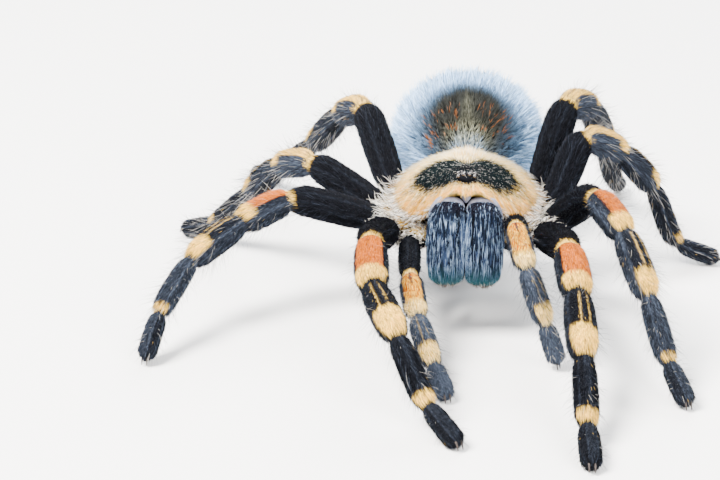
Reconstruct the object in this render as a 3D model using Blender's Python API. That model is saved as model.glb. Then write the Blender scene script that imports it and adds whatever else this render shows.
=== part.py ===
"""Red knee tarantula, an adult female standing still, at life size.

Metres, +Z up. The animal faces -Y and its own left side is at +X. The origin is on the floor under the
middle of the bounding box. Every solid reaches out to the tips of the short coat.

Body places are written as (x, forward, up) from the middle of the carapace, and limb directions as an
azimuth (0 straight out to the side, 90 straight ahead, -90 straight back) and an elevation, in degrees.
"""

import math

import bmesh
import bpy
import numpy as np
from mathutils import Vector

MM = 0.001

# Driving sizes
CARAPACE_LENGTH = 19.6 * MM
CARAPACE_WIDTH = 18.4 * MM
ABDOMEN_LENGTH = 26.6 * MM
ABDOMEN_WIDTH = 23.2 * MM
ABDOMEN_HEIGHT = 19.4 * MM
CHELICERA_LENGTH = 11.5 * MM
LEG_SCALE = CARAPACE_LENGTH / (18.5 * MM)  # the segment lengths below belong to an 18.5 mm carapace

# How it stands
BODY_HEIGHT = 14.5 * MM  # of the carapace's middle plane above the floor
BODY_X = 3.48 * MM
BODY_FORWARD = -3.93 * MM
FOOT_HEIGHT = 0.85 * MM  # of a tarsus tip's centre above the floor
CUT = 0.3 * MM  # the gap between neighbouring solids

UP = np.array([0.0, 0.0, 1.0])

# Limb segments. The second entry is the half thickness of each, coat included.
LIMBS = {
    "palp": {
        "segments": ("femur", "patella", "tibia", "tarsus"),
        "lengths": (9.9, 5.9, 7.0, 5.4),
        "radii": (1.75, 1.85, 1.75, 1.6),
        "coxa": ((3.2, 4.4, -4.4), (7.3, 9.6, -3.6)),
    },
    "leg_1": {
        "segments": ("femur", "patella", "tibia", "metatarsus", "tarsus"),
        "lengths": (13.4, 7.6, 10.2, 8.8, 7.0),
        "radii": (2.5, 2.45, 2.25, 1.8, 1.65),
        "coxa": ((4.0, 3.4, -4.2), (10.4, 6.6, -3.6)),
    },
    "leg_2": {
        "segments": ("femur", "patella", "tibia", "metatarsus", "tarsus"),
        "lengths": (12.0, 7.0, 8.6, 8.7, 6.5),
        "radii": (2.45, 2.35, 2.2, 1.75, 1.6),
        "coxa": ((4.6, 1.3, -4.2), (11.6, 2.2, -3.6)),
    },
    "leg_3": {
        "segments": ("femur", "patella", "tibia", "metatarsus", "tarsus"),
        "lengths": (10.6, 6.4, 7.5, 9.3, 6.6),
        "radii": (2.4, 2.3, 2.15, 1.75, 1.6),
        "coxa": ((4.6, -1.4, -4.2), (11.6, -2.7, -3.6)),
    },
    "leg_4": {
        "segments": ("femur", "patella", "tibia", "metatarsus", "tarsus"),
        "lengths": (13.2, 7.1, 10.9, 12.9, 7.5),
        "radii": (2.55, 2.45, 2.25, 1.85, 1.65),
        "coxa": ((4.0, -3.8, -4.2), (9.9, -7.4, -3.6)),
    },
}
COXA_RADIUS = {"palp": 1.75, "leg_1": 2.2, "leg_2": 2.2, "leg_3": 2.2, "leg_4": 2.2}

# The pose, in degrees, from the femur outwards. The last-but-one elevation is worked out, because
# the foot has to reach the floor.
POSE = {
    ("palp", "l"): {"azimuth": (98, 72, 36, 30), "elevation": (36, -42, None, -68)},
    ("palp", "r"): {"azimuth": (92, 102, 110, 112), "elevation": (-2, -35, None, -24)},
    ("leg_1", "l"): {"azimuth": (80, 82, 88, 88, 88), "elevation": (15, -24, -18, None, -14)},
    ("leg_1", "r"): {"azimuth": (84, 94, 108, 130, 124), "elevation": (17, -26, -8, None, -16)},
    ("leg_2", "l"): {"azimuth": (62, 61, 65, 72, 70), "elevation": (36, -20, -41, None, -26)},
    ("leg_2", "r"): {"azimuth": (16, 28, 46, 68, 74), "elevation": (19, -18, -19, None, -44)},
    ("leg_3", "l"): {"azimuth": (-32, -24, -28, -12, -2), "elevation": (65, -26, -46, None, -20)},
    ("leg_3", "r"): {"azimuth": (-2, -40, -38, -36, -34), "elevation": (33, -14, -44, None, -20)},
    ("leg_4", "l"): {"azimuth": (-50, -58, -70, -76, -78), "elevation": (66, -18, -42, None, -24)},
    ("leg_4", "r"): {"azimuth": (-60, -58, -58, -54, -52), "elevation": (48, -22, -39, None, -20)},
}

SIDES = 10  # corners round a limb
BEND = 3.1 * MM  # how far from a joint the limb starts to turn
STATIONS = (0.0, 0.1, 0.3, 0.58, 0.84, 1.0)  # where a segment has its rings
TIP_STATIONS = (0.0, 0.12, 0.4, 0.7, 0.9, 0.985)
CARAPACE_STEPS = (28, 6)
ABDOMEN_STEPS = (22, 13)

COLOURS = {
    "coat_black": (0.018, 0.017, 0.02),
    "coat_orange": (0.78, 0.20, 0.045),
    "carapace_tan": (0.78, 0.50, 0.25),
    "abdomen_fur": (0.09, 0.09, 0.10),
    "chelicera_slate": (0.09, 0.12, 0.19),
    "horn_black": (0.02, 0.012, 0.01),
}


def body_point(x, forward, up):
    """A place on the body, given in metres from the carapace's middle, in the model's frame."""
    return np.array([BODY_X + x, -(BODY_FORWARD + forward), BODY_HEIGHT + up])


def unit(vector):
    return vector / np.linalg.norm(vector)


def material(name, roughness=0.75):
    found = bpy.data.materials.get(name)
    if found:
        return found
    made = bpy.data.materials.new(name)
    made.use_nodes = True
    shader = made.node_tree.nodes["Principled BSDF"]
    shader.inputs["Base Color"].default_value = (*COLOURS[name], 1.0)
    shader.inputs["Roughness"].default_value = roughness
    return made


def add_object(name, mesh_tool, finish, roughness=0.75):
    """Turns a bmesh into a named object with its faces pointing out."""
    bmesh.ops.recalc_face_normals(mesh_tool, faces=mesh_tool.faces)
    mesh = bpy.data.meshes.new(name)
    mesh_tool.to_mesh(mesh)
    mesh_tool.free()
    mesh.shade_smooth()
    mesh.materials.append(material(finish, roughness))
    placed = bpy.data.objects.new(name, mesh)
    bpy.context.scene.collection.objects.link(placed)
    return placed


def as_helper(placed):
    placed.hide_render = True
    placed.display_type = "WIRE"
    return placed


def add_boolean(placed, other, operation):
    cut = placed.modifiers.new(operation.lower(), "BOOLEAN")
    cut.operation = operation
    cut.object = other
    cut.solver = "EXACT"


def skin_rings(mesh_tool, rings, first_pole=None, last_pole=None):
    """Joins rings of equally many points into a closed form, ending on poles or on flat caps."""
    loops = [[mesh_tool.verts.new(point) for point in ring] for ring in rings]
    count = len(loops[0])
    for near, far in zip(loops, loops[1:]):
        for i in range(count):
            j = (i + 1) % count
            mesh_tool.faces.new((near[i], near[j], far[j], far[i]))
    for loop, pole in ((loops[0], first_pole), (loops[-1], last_pole)):
        if pole is None:
            mesh_tool.faces.new(loop)
            continue
        centre = mesh_tool.verts.new(pole)
        for i in range(count):
            mesh_tool.faces.new((loop[i], loop[(i + 1) % count], centre))


# ---------------------------------------------------------------- limbs


def direction(side, azimuth, elevation):
    az, el = math.radians(azimuth), math.radians(elevation)
    return np.array([side * math.cos(az) * math.cos(el), -math.sin(az) * math.cos(el), math.sin(el)])


def limb_joints(kind, letter):
    """The joints from the coxa's root to the tip. The last segment but one is tilted so that the tip
    comes down to FOOT_HEIGHT."""
    side = 1 if letter == "l" else -1
    limb, pose = LIMBS[kind], POSE[kind, letter]
    lengths = [length * LEG_SCALE * MM for length in limb["lengths"]]
    joints = [body_point(side * x * MM, forward * MM, up * MM) for x, forward, up in limb["coxa"]]
    steps = list(zip(lengths, pose["azimuth"], pose["elevation"]))
    last_rise = lengths[-1] * math.sin(math.radians(pose["elevation"][-1]))
    for length, azimuth, elevation in steps:
        if elevation is None:
            fall = joints[-1][2] + last_rise - FOOT_HEIGHT
            elevation = -math.degrees(math.asin(min(0.995, fall / length)))
        joints.append(joints[-1] + length * direction(side, azimuth, elevation))
    return joints


def along_limb(joints, place):
    """A point on the limb's line and the way it runs there. place counts joints, so 2.5 is halfway
    between joints 2 and 3. Near a joint the line follows a parabola that touches both segments."""
    last = len(joints) - 1
    nearest = int(min(max(round(place), 0), last))
    if 0 < nearest < last:
        before = joints[nearest] - joints[nearest - 1]
        after = joints[nearest + 1] - joints[nearest]
        reach = min(BEND, 0.42 * np.linalg.norm(before), 0.42 * np.linalg.norm(after))
        length = np.linalg.norm(before if place < nearest else after)
        offset = (place - nearest) * length / reach
        if abs(offset) < 1:
            start = joints[nearest] - reach * unit(before)
            end = joints[nearest] + reach * unit(after)
            t = 0.5 + 0.5 * offset
            point = (1 - t) ** 2 * start + 2 * t * (1 - t) * joints[nearest] + t**2 * end
            way = (1 - t) * (joints[nearest] - start) + t * (end - joints[nearest])
            return point, unit(way)
    whole = int(min(max(math.floor(place), 0), last - 1))
    step = joints[whole + 1] - joints[whole]
    return joints[whole] + (place - whole) * step, unit(step)


def swell(t):
    """How thick a segment is along its length: narrow where it leaves its joint, full near its far end."""
    return 1 - 0.24 * (1 - t) ** 5 - 0.13 * t**8


def limb_rings(joints, segment, radius, stations):
    """The rings of one segment, square to its line, with the upper side carried along from the root."""
    length = np.linalg.norm(joints[segment + 1] - joints[segment])
    margin = 0.5 * CUT / length
    upper = UP
    for place in np.arange(0, segment, 0.25):
        _, way = along_limb(joints, place)
        upper = unit(upper - (upper @ way) * way)
    rings = []
    for t in stations:
        place = segment + margin + t * (1 - 2 * margin)
        point, way = along_limb(joints, place)
        upper = unit(upper - (upper @ way) * way)
        across = np.cross(way, upper)
        turns = np.arange(SIDES) * math.tau / SIDES
        size = radius * swell(t)
        rings.append([point + size * (math.cos(a) * across + math.sin(a) * upper) for a in turns])
    return rings


def foot_on_floor(rings):
    """Presses what lies under the floor flat on it, as the pads of a standing foot."""
    return [[np.array([p[0], p[1], max(p[2], 0.0)]) for p in ring] for ring in rings]


def add_limb(kind, letter):
    joints = limb_joints(kind, letter)
    limb = LIMBS[kind]
    for index, (segment, radius) in enumerate(zip(limb["segments"], limb["radii"])):
        last = segment == "tarsus"
        rings = limb_rings(joints, index + 1, radius * MM, TIP_STATIONS if last else STATIONS)
        mesh_tool = bmesh.new()
        if last:
            centre, way = along_limb(joints, index + 2)
            tip = centre + 0.15 * MM * way
            blunt = [centre + 0.62 * (point - np.mean(rings[-1], axis=0)) for point in rings[-1]]
            rings = foot_on_floor(rings + [blunt])
            skin_rings(mesh_tool, rings, last_pole=tip)
        else:
            skin_rings(mesh_tool, rings)
        finish = "coat_orange" if segment == "patella" else "coat_black"
        add_object(f"{kind}_{letter}_{segment}", mesh_tool, finish)


def coxa_form(kind, letter):
    """The first piece of a limb, which grows out of the underbody."""
    joints = limb_joints(kind, letter)
    mesh_tool = bmesh.new()
    skin_rings(mesh_tool, limb_rings(joints, 0, COXA_RADIUS[kind] * MM, (0.0, 0.3, 0.7, 1.0)))
    return as_helper(add_object(f"coxa_{kind}_{letter}", mesh_tool, "coat_black"))


# ---------------------------------------------------------------- trunk


def carapace_rim(theta):
    """The rim's x, forward and up. theta is 0 in front. The rim has a high arch over each chelicera,
    with a dip between them, drops at the front corners and lifts again over the waist."""
    s, c = math.sin(theta), math.cos(theta)
    taper = 1 - 0.13 * max(0.0, c) ** 1.5
    x = 0.5 * CARAPACE_WIDTH * math.copysign(abs(s) ** 0.9, s) * taper
    forward = 0.5 * CARAPACE_LENGTH * math.copysign(abs(c) ** 0.85, c)
    turn = math.degrees(min(theta % math.tau, math.tau - theta % math.tau))
    up = -0.9 + 3.2 * ((1 - c) / 2) ** 2.4
    up += 4.9 * math.exp(-((turn / 32) ** 2)) - 0.85 * math.exp(-((turn / 6) ** 2))
    up -= 0.5 * math.exp(-(((turn - 50) / 20) ** 2))
    return x, forward, up * MM


def carapace_top(share, theta):
    """A place on the dome. share is 0 in the middle and 1 at the rim. The head part rises in front."""
    x, forward, up = carapace_rim(theta)
    x, forward = x * share, forward * share
    dome = 4.0 * MM * (1 - share**2.6)
    head = 0.7 * MM * math.exp(-((x / (4.6 * MM)) ** 2) - ((forward - 5.8 * MM) / (4.2 * MM)) ** 2)
    pit = 0.5 * MM * math.exp(-((x / (1.4 * MM)) ** 2) - ((forward + 1.6 * MM) / (1.5 * MM)) ** 2)
    return body_point(x, forward, up * share**3 + dome + head * (1 - share**6) - pit)


def carapace_floor(share, theta, drop=0.0):
    """The under surface, from the middle plane out to the rim."""
    x, forward, up = carapace_rim(theta)
    return body_point(x * share, forward * share, up * share**2 - 0.35 * MM * share - drop)


def carapace_form(mesh_tool, lift=0.0):
    turns, steps = CARAPACE_STEPS
    angles = [i * math.tau / turns for i in range(turns)]
    shares = [math.sin(0.5 * math.pi * (i + 1) / steps) for i in range(steps)]
    top = [[carapace_top(share, a) + lift * UP for a in angles] for share in shares]
    under = [[carapace_floor(share, a) + lift * UP for a in angles] for share in (1.0, 0.55)]
    skin_rings(
        mesh_tool,
        top + under,
        first_pole=carapace_top(0.0, 0.0) + lift * UP,
        last_pole=carapace_floor(0.0, 0.0) + lift * UP,
    )


def add_carapace():
    mesh_tool = bmesh.new()
    carapace_form(mesh_tool)
    add_object("carapace", mesh_tool, "carapace_tan")


def add_ball(mesh_tool, centre, radii, turns, steps):
    """An ellipsoid of rings round the upright axis."""
    rings = []
    for i in range(1, steps):
        fall = i * math.pi / steps
        spread, height = math.sin(fall), math.cos(fall)
        angles = [j * math.tau / turns for j in range(turns)]
        local = [np.array([spread * math.cos(a), spread * math.sin(a), height]) for a in angles]
        rings.append([centre + point * radii for point in local])
    up = radii[2] * UP
    skin_rings(mesh_tool, rings, first_pole=centre + up, last_pole=centre - up)


MOUND_FORWARD = 6.7 * MM
MOUND_RADII = np.array([1.4, 1.0, 0.85]) * MM
# Where the eyes sit on the mound, as x, forward and radius: the front row, then the back row.
EYES = ((0.38, 0.58, 0.29), (1.05, 0.52, 0.27), (0.66, -0.28, 0.18), (1.1, -0.2, 0.24))


def mound_centre():
    share = MOUND_FORWARD / (0.5 * CARAPACE_LENGTH)
    return carapace_top(share, 0.0) + 0.15 * MM * UP


def eye_places():
    """The eight eyes, on the surface of the mound."""
    centre = mound_centre()
    for side in (1, -1):
        for x, forward, radius in EYES:
            flat = (x * MM / MOUND_RADII[0]) ** 2 + (forward * MM / MOUND_RADII[1]) ** 2
            height = MOUND_RADII[2] * math.sqrt(max(0.12, 1 - flat))
            yield centre + np.array([side * x * MM, -forward * MM, 0.92 * height]), radius * MM


def add_eye_mound():
    """The low mound that carries all eight eyes, cut to lie on the carapace."""
    mesh_tool = bmesh.new()
    add_ball(mesh_tool, mound_centre(), MOUND_RADII, 14, 8)
    mound = add_object("eye_mound", mesh_tool, "horn_black", 0.3)
    mesh_tool = bmesh.new()
    for place, radius in eye_places():
        add_ball(mesh_tool, place, np.full(3, radius), 8, 5)
    add_boolean(mound, as_helper(add_object("eye_beads", mesh_tool, "horn_black", 0.1)), "UNION")
    mesh_tool = bmesh.new()
    carapace_form(mesh_tool, lift=CUT)
    add_boolean(mound, as_helper(add_object("raised_carapace", mesh_tool, "carapace_tan")), "DIFFERENCE")


def carapace_clearance():
    """Everything over the carapace's under surface, less the gap, for trimming what fits below it."""
    turns = CARAPACE_STEPS[0]
    angles = [i * math.tau / turns for i in range(turns)]
    rings = [[carapace_floor(share, a, CUT) for a in angles] for share in (0.35, 0.65, 0.85, 1.04)]
    rings.append([carapace_floor(1.04, a, -14 * MM) for a in angles])
    mesh_tool = bmesh.new()
    skin_rings(mesh_tool, rings, carapace_floor(0.0, 0.0, CUT), carapace_floor(0.0, 0.0, -14 * MM))
    return as_helper(add_object("carapace_clearance", mesh_tool, "carapace_tan"))


def add_underbody(clearance):
    """The sternum and the soft flanks under the carapace, in one with the coxae of all ten limbs."""
    turns = 20
    angles = [i * math.tau / turns for i in range(turns)]
    rings = [[carapace_floor(share, a, CUT + 0.15 * MM) for a in angles] for share in (0.3, 0.6, 0.8)]
    for share, depth in ((0.78, 3.6), (0.66, 5.4), (0.42, 6.2)):
        ring = []
        for a in angles:
            x, forward, _ = carapace_rim(a)
            ring.append(body_point(x * share, forward * share * 0.98, -depth * MM))
        rings.append(ring)
    mesh_tool = bmesh.new()
    top = carapace_floor(0.0, 0.0, CUT + 0.15 * MM)
    skin_rings(mesh_tool, rings, first_pole=top, last_pole=body_point(0, 0, -6.4 * MM))
    underbody = add_object("underbody", mesh_tool, "coat_black")
    for kind, letter in POSE:
        add_boolean(underbody, coxa_form(kind, letter), "UNION")
    for side, letter in ((1, "l"), (-1, "r")):
        add_boolean(underbody, chelicera_form(f"jaw_room_{letter}", side, CUT), "DIFFERENCE")
        as_helper(bpy.data.objects[f"jaw_room_{letter}"])
    add_boolean(underbody, clearance, "DIFFERENCE")


def add_pedicel():
    """The narrow waist between the two halves of the body."""
    rings = []
    angles = [i * math.tau / 10 for i in range(10)]
    for forward, size in ((-8.1, 1.5), (-9.3, 1.25), (-10.55, 1.5)):
        circle = [(size * math.cos(a), size * math.sin(a) - 1.7) for a in angles]
        rings.append([body_point(x * MM, forward * MM, up * MM) for x, up in circle])
    mesh_tool = bmesh.new()
    skin_rings(mesh_tool, rings)
    add_object("pedicel", mesh_tool, "coat_black")


ABDOMEN_MIDDLE = (0.0, -24.2 * MM, -0.7 * MM)
ABDOMEN_TILT = math.radians(4)  # the rear end is held up


def abdomen_point(fall, turn, inset=0.0):
    """fall runs from 0 at the waist to pi at the rear, turn round the body from its left side over
    the back. The form is fuller behind its middle and flatter underneath."""
    full = math.sin(fall) ** 0.92 * (1 - 0.10 * math.cos(fall))
    x = (0.5 * ABDOMEN_WIDTH - inset) * full * math.cos(turn)
    z = (0.5 * ABDOMEN_HEIGHT - inset) * full * math.sin(turn)
    if z < 0:
        z *= 0.86
    back = -(0.5 * ABDOMEN_LENGTH - inset) * math.cos(fall)
    tilted_back = back * math.cos(ABDOMEN_TILT) - z * math.sin(ABDOMEN_TILT)
    tilted_up = back * math.sin(ABDOMEN_TILT) + z * math.cos(ABDOMEN_TILT)
    x0, forward0, up0 = ABDOMEN_MIDDLE
    return body_point(x0 + x, forward0 - tilted_back, up0 + tilted_up)


def abdomen_form(name, inset=0.0):
    turns, steps = ABDOMEN_STEPS
    angles = [i * math.tau / turns for i in range(turns)]
    rings = [[abdomen_point(i * math.pi / steps, a, inset) for a in angles] for i in range(1, steps)]
    mesh_tool = bmesh.new()
    front, rear = abdomen_point(0, 0, inset), abdomen_point(math.pi, 0, inset)
    skin_rings(mesh_tool, rings, first_pole=front, last_pole=rear)
    return add_object(name, mesh_tool, "abdomen_fur")


def tube(mesh_tool, points, sizes, sides, tip=True):
    """A round form through a few points, each with its half thickness."""
    rings = []
    upper = UP
    ways = np.gradient(np.array(points), axis=0)
    for point, way, size in zip(points, ways, sizes):
        way = unit(way)
        upper = unit(upper - (upper @ way) * way)
        across = np.cross(way, upper)
        turns = np.arange(sides) * math.tau / sides
        rings.append([point + size * (math.cos(a) * across + math.sin(a) * upper) for a in turns])
    end = points[-1] + 0.4 * sizes[-1] * unit(ways[-1])
    skin_rings(mesh_tool, rings, last_pole=end if tip else None)


def add_spinneret(side, letter, abdomen_room):
    """A jointed finger behind the abdomen, pointing back and slightly up, fitted to the abdomen."""
    root = abdomen_point(math.radians(157), math.radians(-90 + side * 16))
    away = unit(np.array([side * 0.24, 0.93, -0.28]))
    points = []
    for reach in (-0.9, 1.5, 1.8, 3.2, 3.5, 5.0):
        points.append(root + (reach * away + 0.05 * reach * reach * UP) * MM)
    mesh_tool = bmesh.new()
    tube(mesh_tool, points, [size * MM for size in (0.9, 0.95, 0.75, 0.8, 0.62, 0.4)], 8)
    finger = add_object(f"spinneret_{letter}", mesh_tool, "coat_black")
    add_boolean(finger, abdomen_room, "DIFFERENCE")


# ---------------------------------------------------------------- jaws

CHELICERA_WIDTH = 2.45 * MM  # half
CHELICERA_DEPTH = 2.9 * MM  # half


def chelicera_line(t):
    """The middle line as a parabola, from under the carapace's front rim forward and down."""
    k = CHELICERA_LENGTH / (11.5 * MM)
    root = np.array([2.62, 7.6, -1.1])
    knee = np.array([2.75, 13.9 * k, 2.2])
    end = np.array([2.62, 14.0 * k, -8.0 * k])
    return ((1 - t) ** 2 * root + 2 * t * (1 - t) * knee + t**2 * end) * MM


# Where a jaw has its rings and how full it is there
CHELICERA_FULLNESS = {0.0: 0.72, 0.16: 0.88, 0.34: 0.95, 0.55: 1.0, 0.75: 1.0, 0.93: 0.9, 1.0: 0.74}


def chelicera_section(angle):
    """One cross-section's shares to the side and to the front: oval outside, squarer inside."""
    c, s = math.cos(angle), math.sin(angle)
    power, wide = (0.55, 1.6) if c < -0.001 else (0.85, 1.0)
    return wide * math.copysign(abs(c) ** power, c), math.copysign(abs(s) ** power, s)


def chelicera_rings(side, more):
    """Rings that are flat on the side that faces the other jaw. more is added all round."""
    rings = []
    for t, full in CHELICERA_FULLNESS.items():
        x, forward, up = chelicera_line(t)
        ahead = chelicera_line(t + 0.01) - chelicera_line(t - 0.01)
        way = unit(np.array([0.0, ahead[1], ahead[2]]))
        front = np.array([0.0, -way[2], way[1]])
        ring = []
        for j in range(16):
            across, ahead_share = chelicera_section(j * math.tau / 16)
            offset = (CHELICERA_DEPTH * full * (1 - 0.12 * t) + more) * ahead_share * front
            lateral = max(x + (CHELICERA_WIDTH * full + more) * across, 0.5 * CUT - more)
            place = np.array([x, forward, up]) + offset
            ring.append(body_point(side * lateral, place[1], place[2]))
        rings.append(ring)
    return rings


def chelicera_form(name, side, more=0.0):
    mesh_tool = bmesh.new()
    rings = chelicera_rings(side, more)
    x, forward, up = chelicera_line(1.0)
    skin_rings(mesh_tool, rings, last_pole=body_point(side * x, forward, up - 0.55 * MM - more))
    return add_object(name, mesh_tool, "chelicera_slate", 0.6)


def add_chelicera(side, letter, clearance):
    add_boolean(chelicera_form(f"chelicera_{letter}", side), clearance, "DIFFERENCE")


def add_fang(side, letter):
    """A curved fang, folded back under the jaw."""
    points = []
    for i in range(6):
        t = i / 5
        forward = 13.7 - 3.9 * t
        up = -9.75 - 0.6 * math.sin(math.pi * t) + 0.7 * t
        points.append(body_point(side * (2.9 - 0.5 * t) * MM, forward * MM, up * MM))
    mesh_tool = bmesh.new()
    tube(mesh_tool, points, [s * MM for s in (0.75, 0.85, 0.75, 0.6, 0.42, 0.26)], 8)
    add_object(f"fang_{letter}", mesh_tool, "horn_black", 0.25)


def main():
    for existing in list(bpy.data.objects):
        bpy.data.objects.remove(existing)
    add_carapace()
    add_eye_mound()
    clearance = carapace_clearance()
    add_underbody(clearance)
    add_pedicel()
    abdomen_form("abdomen")
    abdomen_room = as_helper(abdomen_form("abdomen_room", -CUT))
    for side, letter in ((1, "l"), (-1, "r")):
        add_chelicera(side, letter, clearance)
        add_fang(side, letter)
        add_spinneret(side, letter, abdomen_room)
    for kind, letter in POSE:
        add_limb(kind, letter)


main()
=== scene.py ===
import math

import bpy
import numpy as np
from mathutils import Matrix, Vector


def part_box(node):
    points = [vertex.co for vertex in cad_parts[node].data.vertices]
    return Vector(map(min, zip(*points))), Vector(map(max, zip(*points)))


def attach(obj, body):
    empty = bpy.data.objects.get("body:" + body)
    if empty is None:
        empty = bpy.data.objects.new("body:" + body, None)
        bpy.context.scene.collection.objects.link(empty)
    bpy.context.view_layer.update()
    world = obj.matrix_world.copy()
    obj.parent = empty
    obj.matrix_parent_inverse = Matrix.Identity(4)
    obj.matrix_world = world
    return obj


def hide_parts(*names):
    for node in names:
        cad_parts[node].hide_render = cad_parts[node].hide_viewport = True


bl_info = {
    "name": "Red Knee Tarantula",
    "version": (1, 0, 0),
    "blender": (4, 5, 0),
    "location": "View3D > Sidebar > Tarantula",
    "description": "Dresses the solids of a red knee tarantula with its skin, plates, jaws, eyes and coat",
    "category": "Object",
}

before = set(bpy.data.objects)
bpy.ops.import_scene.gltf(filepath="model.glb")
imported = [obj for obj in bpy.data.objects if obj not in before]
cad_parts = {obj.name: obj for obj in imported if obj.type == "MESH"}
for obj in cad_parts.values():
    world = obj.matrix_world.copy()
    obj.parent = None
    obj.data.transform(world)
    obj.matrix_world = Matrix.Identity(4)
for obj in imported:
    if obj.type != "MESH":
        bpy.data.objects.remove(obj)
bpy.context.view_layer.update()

MM = 0.001
RIGHT = np.array([1.0, 0.0, 0.0])
UP = np.array([0.0, 0.0, 1.0])

# The construction's sizes, which the solids were built from
CARAPACE_LENGTH = 19.6 * MM
CARAPACE_WIDTH = 18.4 * MM
ABDOMEN_LENGTH = 26.6 * MM
ABDOMEN_WIDTH = 23.2 * MM
ABDOMEN_HEIGHT = 19.4 * MM
ABDOMEN_MIDDLE = (0.0, -24.2 * MM, -0.7 * MM)  # x, forward and up
ABDOMEN_TILT = math.radians(4)
LEG_SCALE = CARAPACE_LENGTH / (18.5 * MM)
FOOT_HEIGHT = 0.85 * MM  # a foot's line above the floor
BEND = 3.1 * MM  # how far from a joint a limb starts to turn
STATIONS = (0.1, 0.3, 0.58, 0.84)  # where a segment's thickness is set

# How deep the skin lies under the tips of the short coat, where no property says it
BELLY_COAT = 0.2 * MM
JAW_COAT = 0.28 * MM
MOUND_COAT = 0.1 * MM
ROOT_DEPTH = 0.06 * MM  # how deep a hair's root is sunk

# The least height above the floor
HAIR_CLEARANCE = 0.02 * MM
SKIN_CLEARANCE = 0.04 * MM
CLAW_CLEARANCE = 0.12 * MM

# Along a jaw, its thickness as a share of the whole
JAW_FULLNESS = {0.0: 0.72, 0.16: 0.88, 0.34: 0.95, 0.55: 1.0, 0.75: 1.0, 0.91: 0.91, 1.0: 0.8}

# The eyes' mound, and the eyes of one side as x, forward and radius in millimetres
MOUND_RADII = np.array([1.4, 1.0, 0.85]) * MM
EYES = ((0.38, 0.58, 0.29), (1.05, 0.52, 0.27), (0.66, -0.28, 0.18), (1.1, -0.2, 0.24))

# Each limb in millimetres: its segments' lengths before LEG_SCALE, from the femur outwards, their half
# thicknesses, from the coxa outwards, and the coxa's two ends as x, forward and up
LIMBS = {
    "palp": {
        "lengths": (9.9, 5.9, 7.0, 5.4),
        "radii": (1.75, 1.75, 1.85, 1.75, 1.6),
        "coxa": ((3.2, 4.4, -4.4), (7.3, 9.6, -3.6)),
    },
    "leg_1": {
        "lengths": (13.4, 7.6, 10.2, 8.8, 7.0),
        "radii": (2.2, 2.5, 2.45, 2.25, 1.8, 1.65),
        "coxa": ((4.0, 3.4, -4.2), (10.4, 6.6, -3.6)),
    },
    "leg_2": {
        "lengths": (12.0, 7.0, 8.6, 8.7, 6.5),
        "radii": (2.2, 2.45, 2.35, 2.2, 1.75, 1.6),
        "coxa": ((4.6, 1.3, -4.2), (11.6, 2.2, -3.6)),
    },
    "leg_3": {
        "lengths": (10.6, 6.4, 7.5, 9.3, 6.6),
        "radii": (2.2, 2.4, 2.3, 2.15, 1.75, 1.6),
        "coxa": ((4.6, -1.4, -4.2), (11.6, -2.7, -3.6)),
    },
    "leg_4": {
        "lengths": (13.2, 7.1, 10.9, 12.9, 7.5),
        "radii": (2.2, 2.55, 2.45, 2.25, 1.85, 1.65),
        "coxa": ((4.0, -3.8, -4.2), (9.9, -7.4, -3.6)),
    },
}

# The pose in degrees, from the femur outwards. The last-but-one elevation is worked out, because the
# foot has to reach the floor
POSE = {
    ("palp", "l"): {"azimuth": (98, 72, 36, 30), "elevation": (36, -42, None, -68)},
    ("palp", "r"): {"azimuth": (92, 102, 110, 112), "elevation": (-2, -35, None, -24)},
    ("leg_1", "l"): {"azimuth": (80, 82, 88, 88, 88), "elevation": (15, -24, -18, None, -14)},
    ("leg_1", "r"): {"azimuth": (84, 94, 108, 130, 124), "elevation": (17, -26, -8, None, -16)},
    ("leg_2", "l"): {"azimuth": (62, 61, 65, 72, 70), "elevation": (36, -20, -41, None, -26)},
    ("leg_2", "r"): {"azimuth": (16, 28, 46, 68, 74), "elevation": (19, -18, -19, None, -44)},
    ("leg_3", "l"): {"azimuth": (-32, -24, -28, -12, -2), "elevation": (65, -26, -46, None, -20)},
    ("leg_3", "r"): {"azimuth": (-2, -40, -38, -36, -34), "elevation": (33, -14, -44, None, -20)},
    ("leg_4", "l"): {"azimuth": (-50, -58, -70, -76, -78), "elevation": (66, -18, -42, None, -24)},
    ("leg_4", "r"): {"azimuth": (-60, -58, -58, -54, -52), "elevation": (48, -22, -39, None, -20)},
}

# How far a limb's markings are rolled towards its outer side, in degrees
ROLL = {
    ("leg_2", "l"): 20,
    ("leg_2", "r"): 14,
    ("leg_1", "l"): 14,
    ("leg_1", "r"): 12,
    ("palp", "l"): -14,
    ("palp", "r"): 8,
}


def middle_of(node):
    """The middle of a solid's box."""
    low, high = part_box(node)
    return 0.5 * (np.array(low) + np.array(high))


BODY = np.array([*middle_of("carapace")[:2], middle_of("pedicel")[2] + 1.7 * MM])


# ---------------------------------------------------------------- numbers


def unit(vectors):
    """Each vector drawn out or in to length 1."""
    return vectors / np.maximum(np.linalg.norm(vectors, axis=-1, keepdims=True), 1e-12)


def soft(x, low, high):
    """A smooth step: 0 below low, 1 above high, 3t^2 - 2t^3 between."""
    t = np.clip((x - low) / (high - low), 0.0, 1.0)
    return t * t * (3 - 2 * t)


def within(x, low, high, edge):
    """1 between low and high, fading over twice the edge at both ends."""
    return soft(x, low - edge, low + edge) * (1 - soft(x, high - edge, high + edge))


def turns(count):
    """Angles spread evenly round a circle."""
    return np.arange(count) / count * math.tau


def round_grid(first, last, rows, columns):
    """Places from first to last down the rows, and angles round the columns."""
    return np.meshgrid(np.linspace(first, last, rows), turns(columns), indexing="ij")


def ball_point(fall, turn):
    """The ball of radius 1: sin(fall) cos(turn), sin(fall) sin(turn), cos(fall)."""
    return np.stack([np.sin(fall) * np.cos(turn), np.sin(fall) * np.sin(turn), np.cos(fall)], axis=-1)


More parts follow.
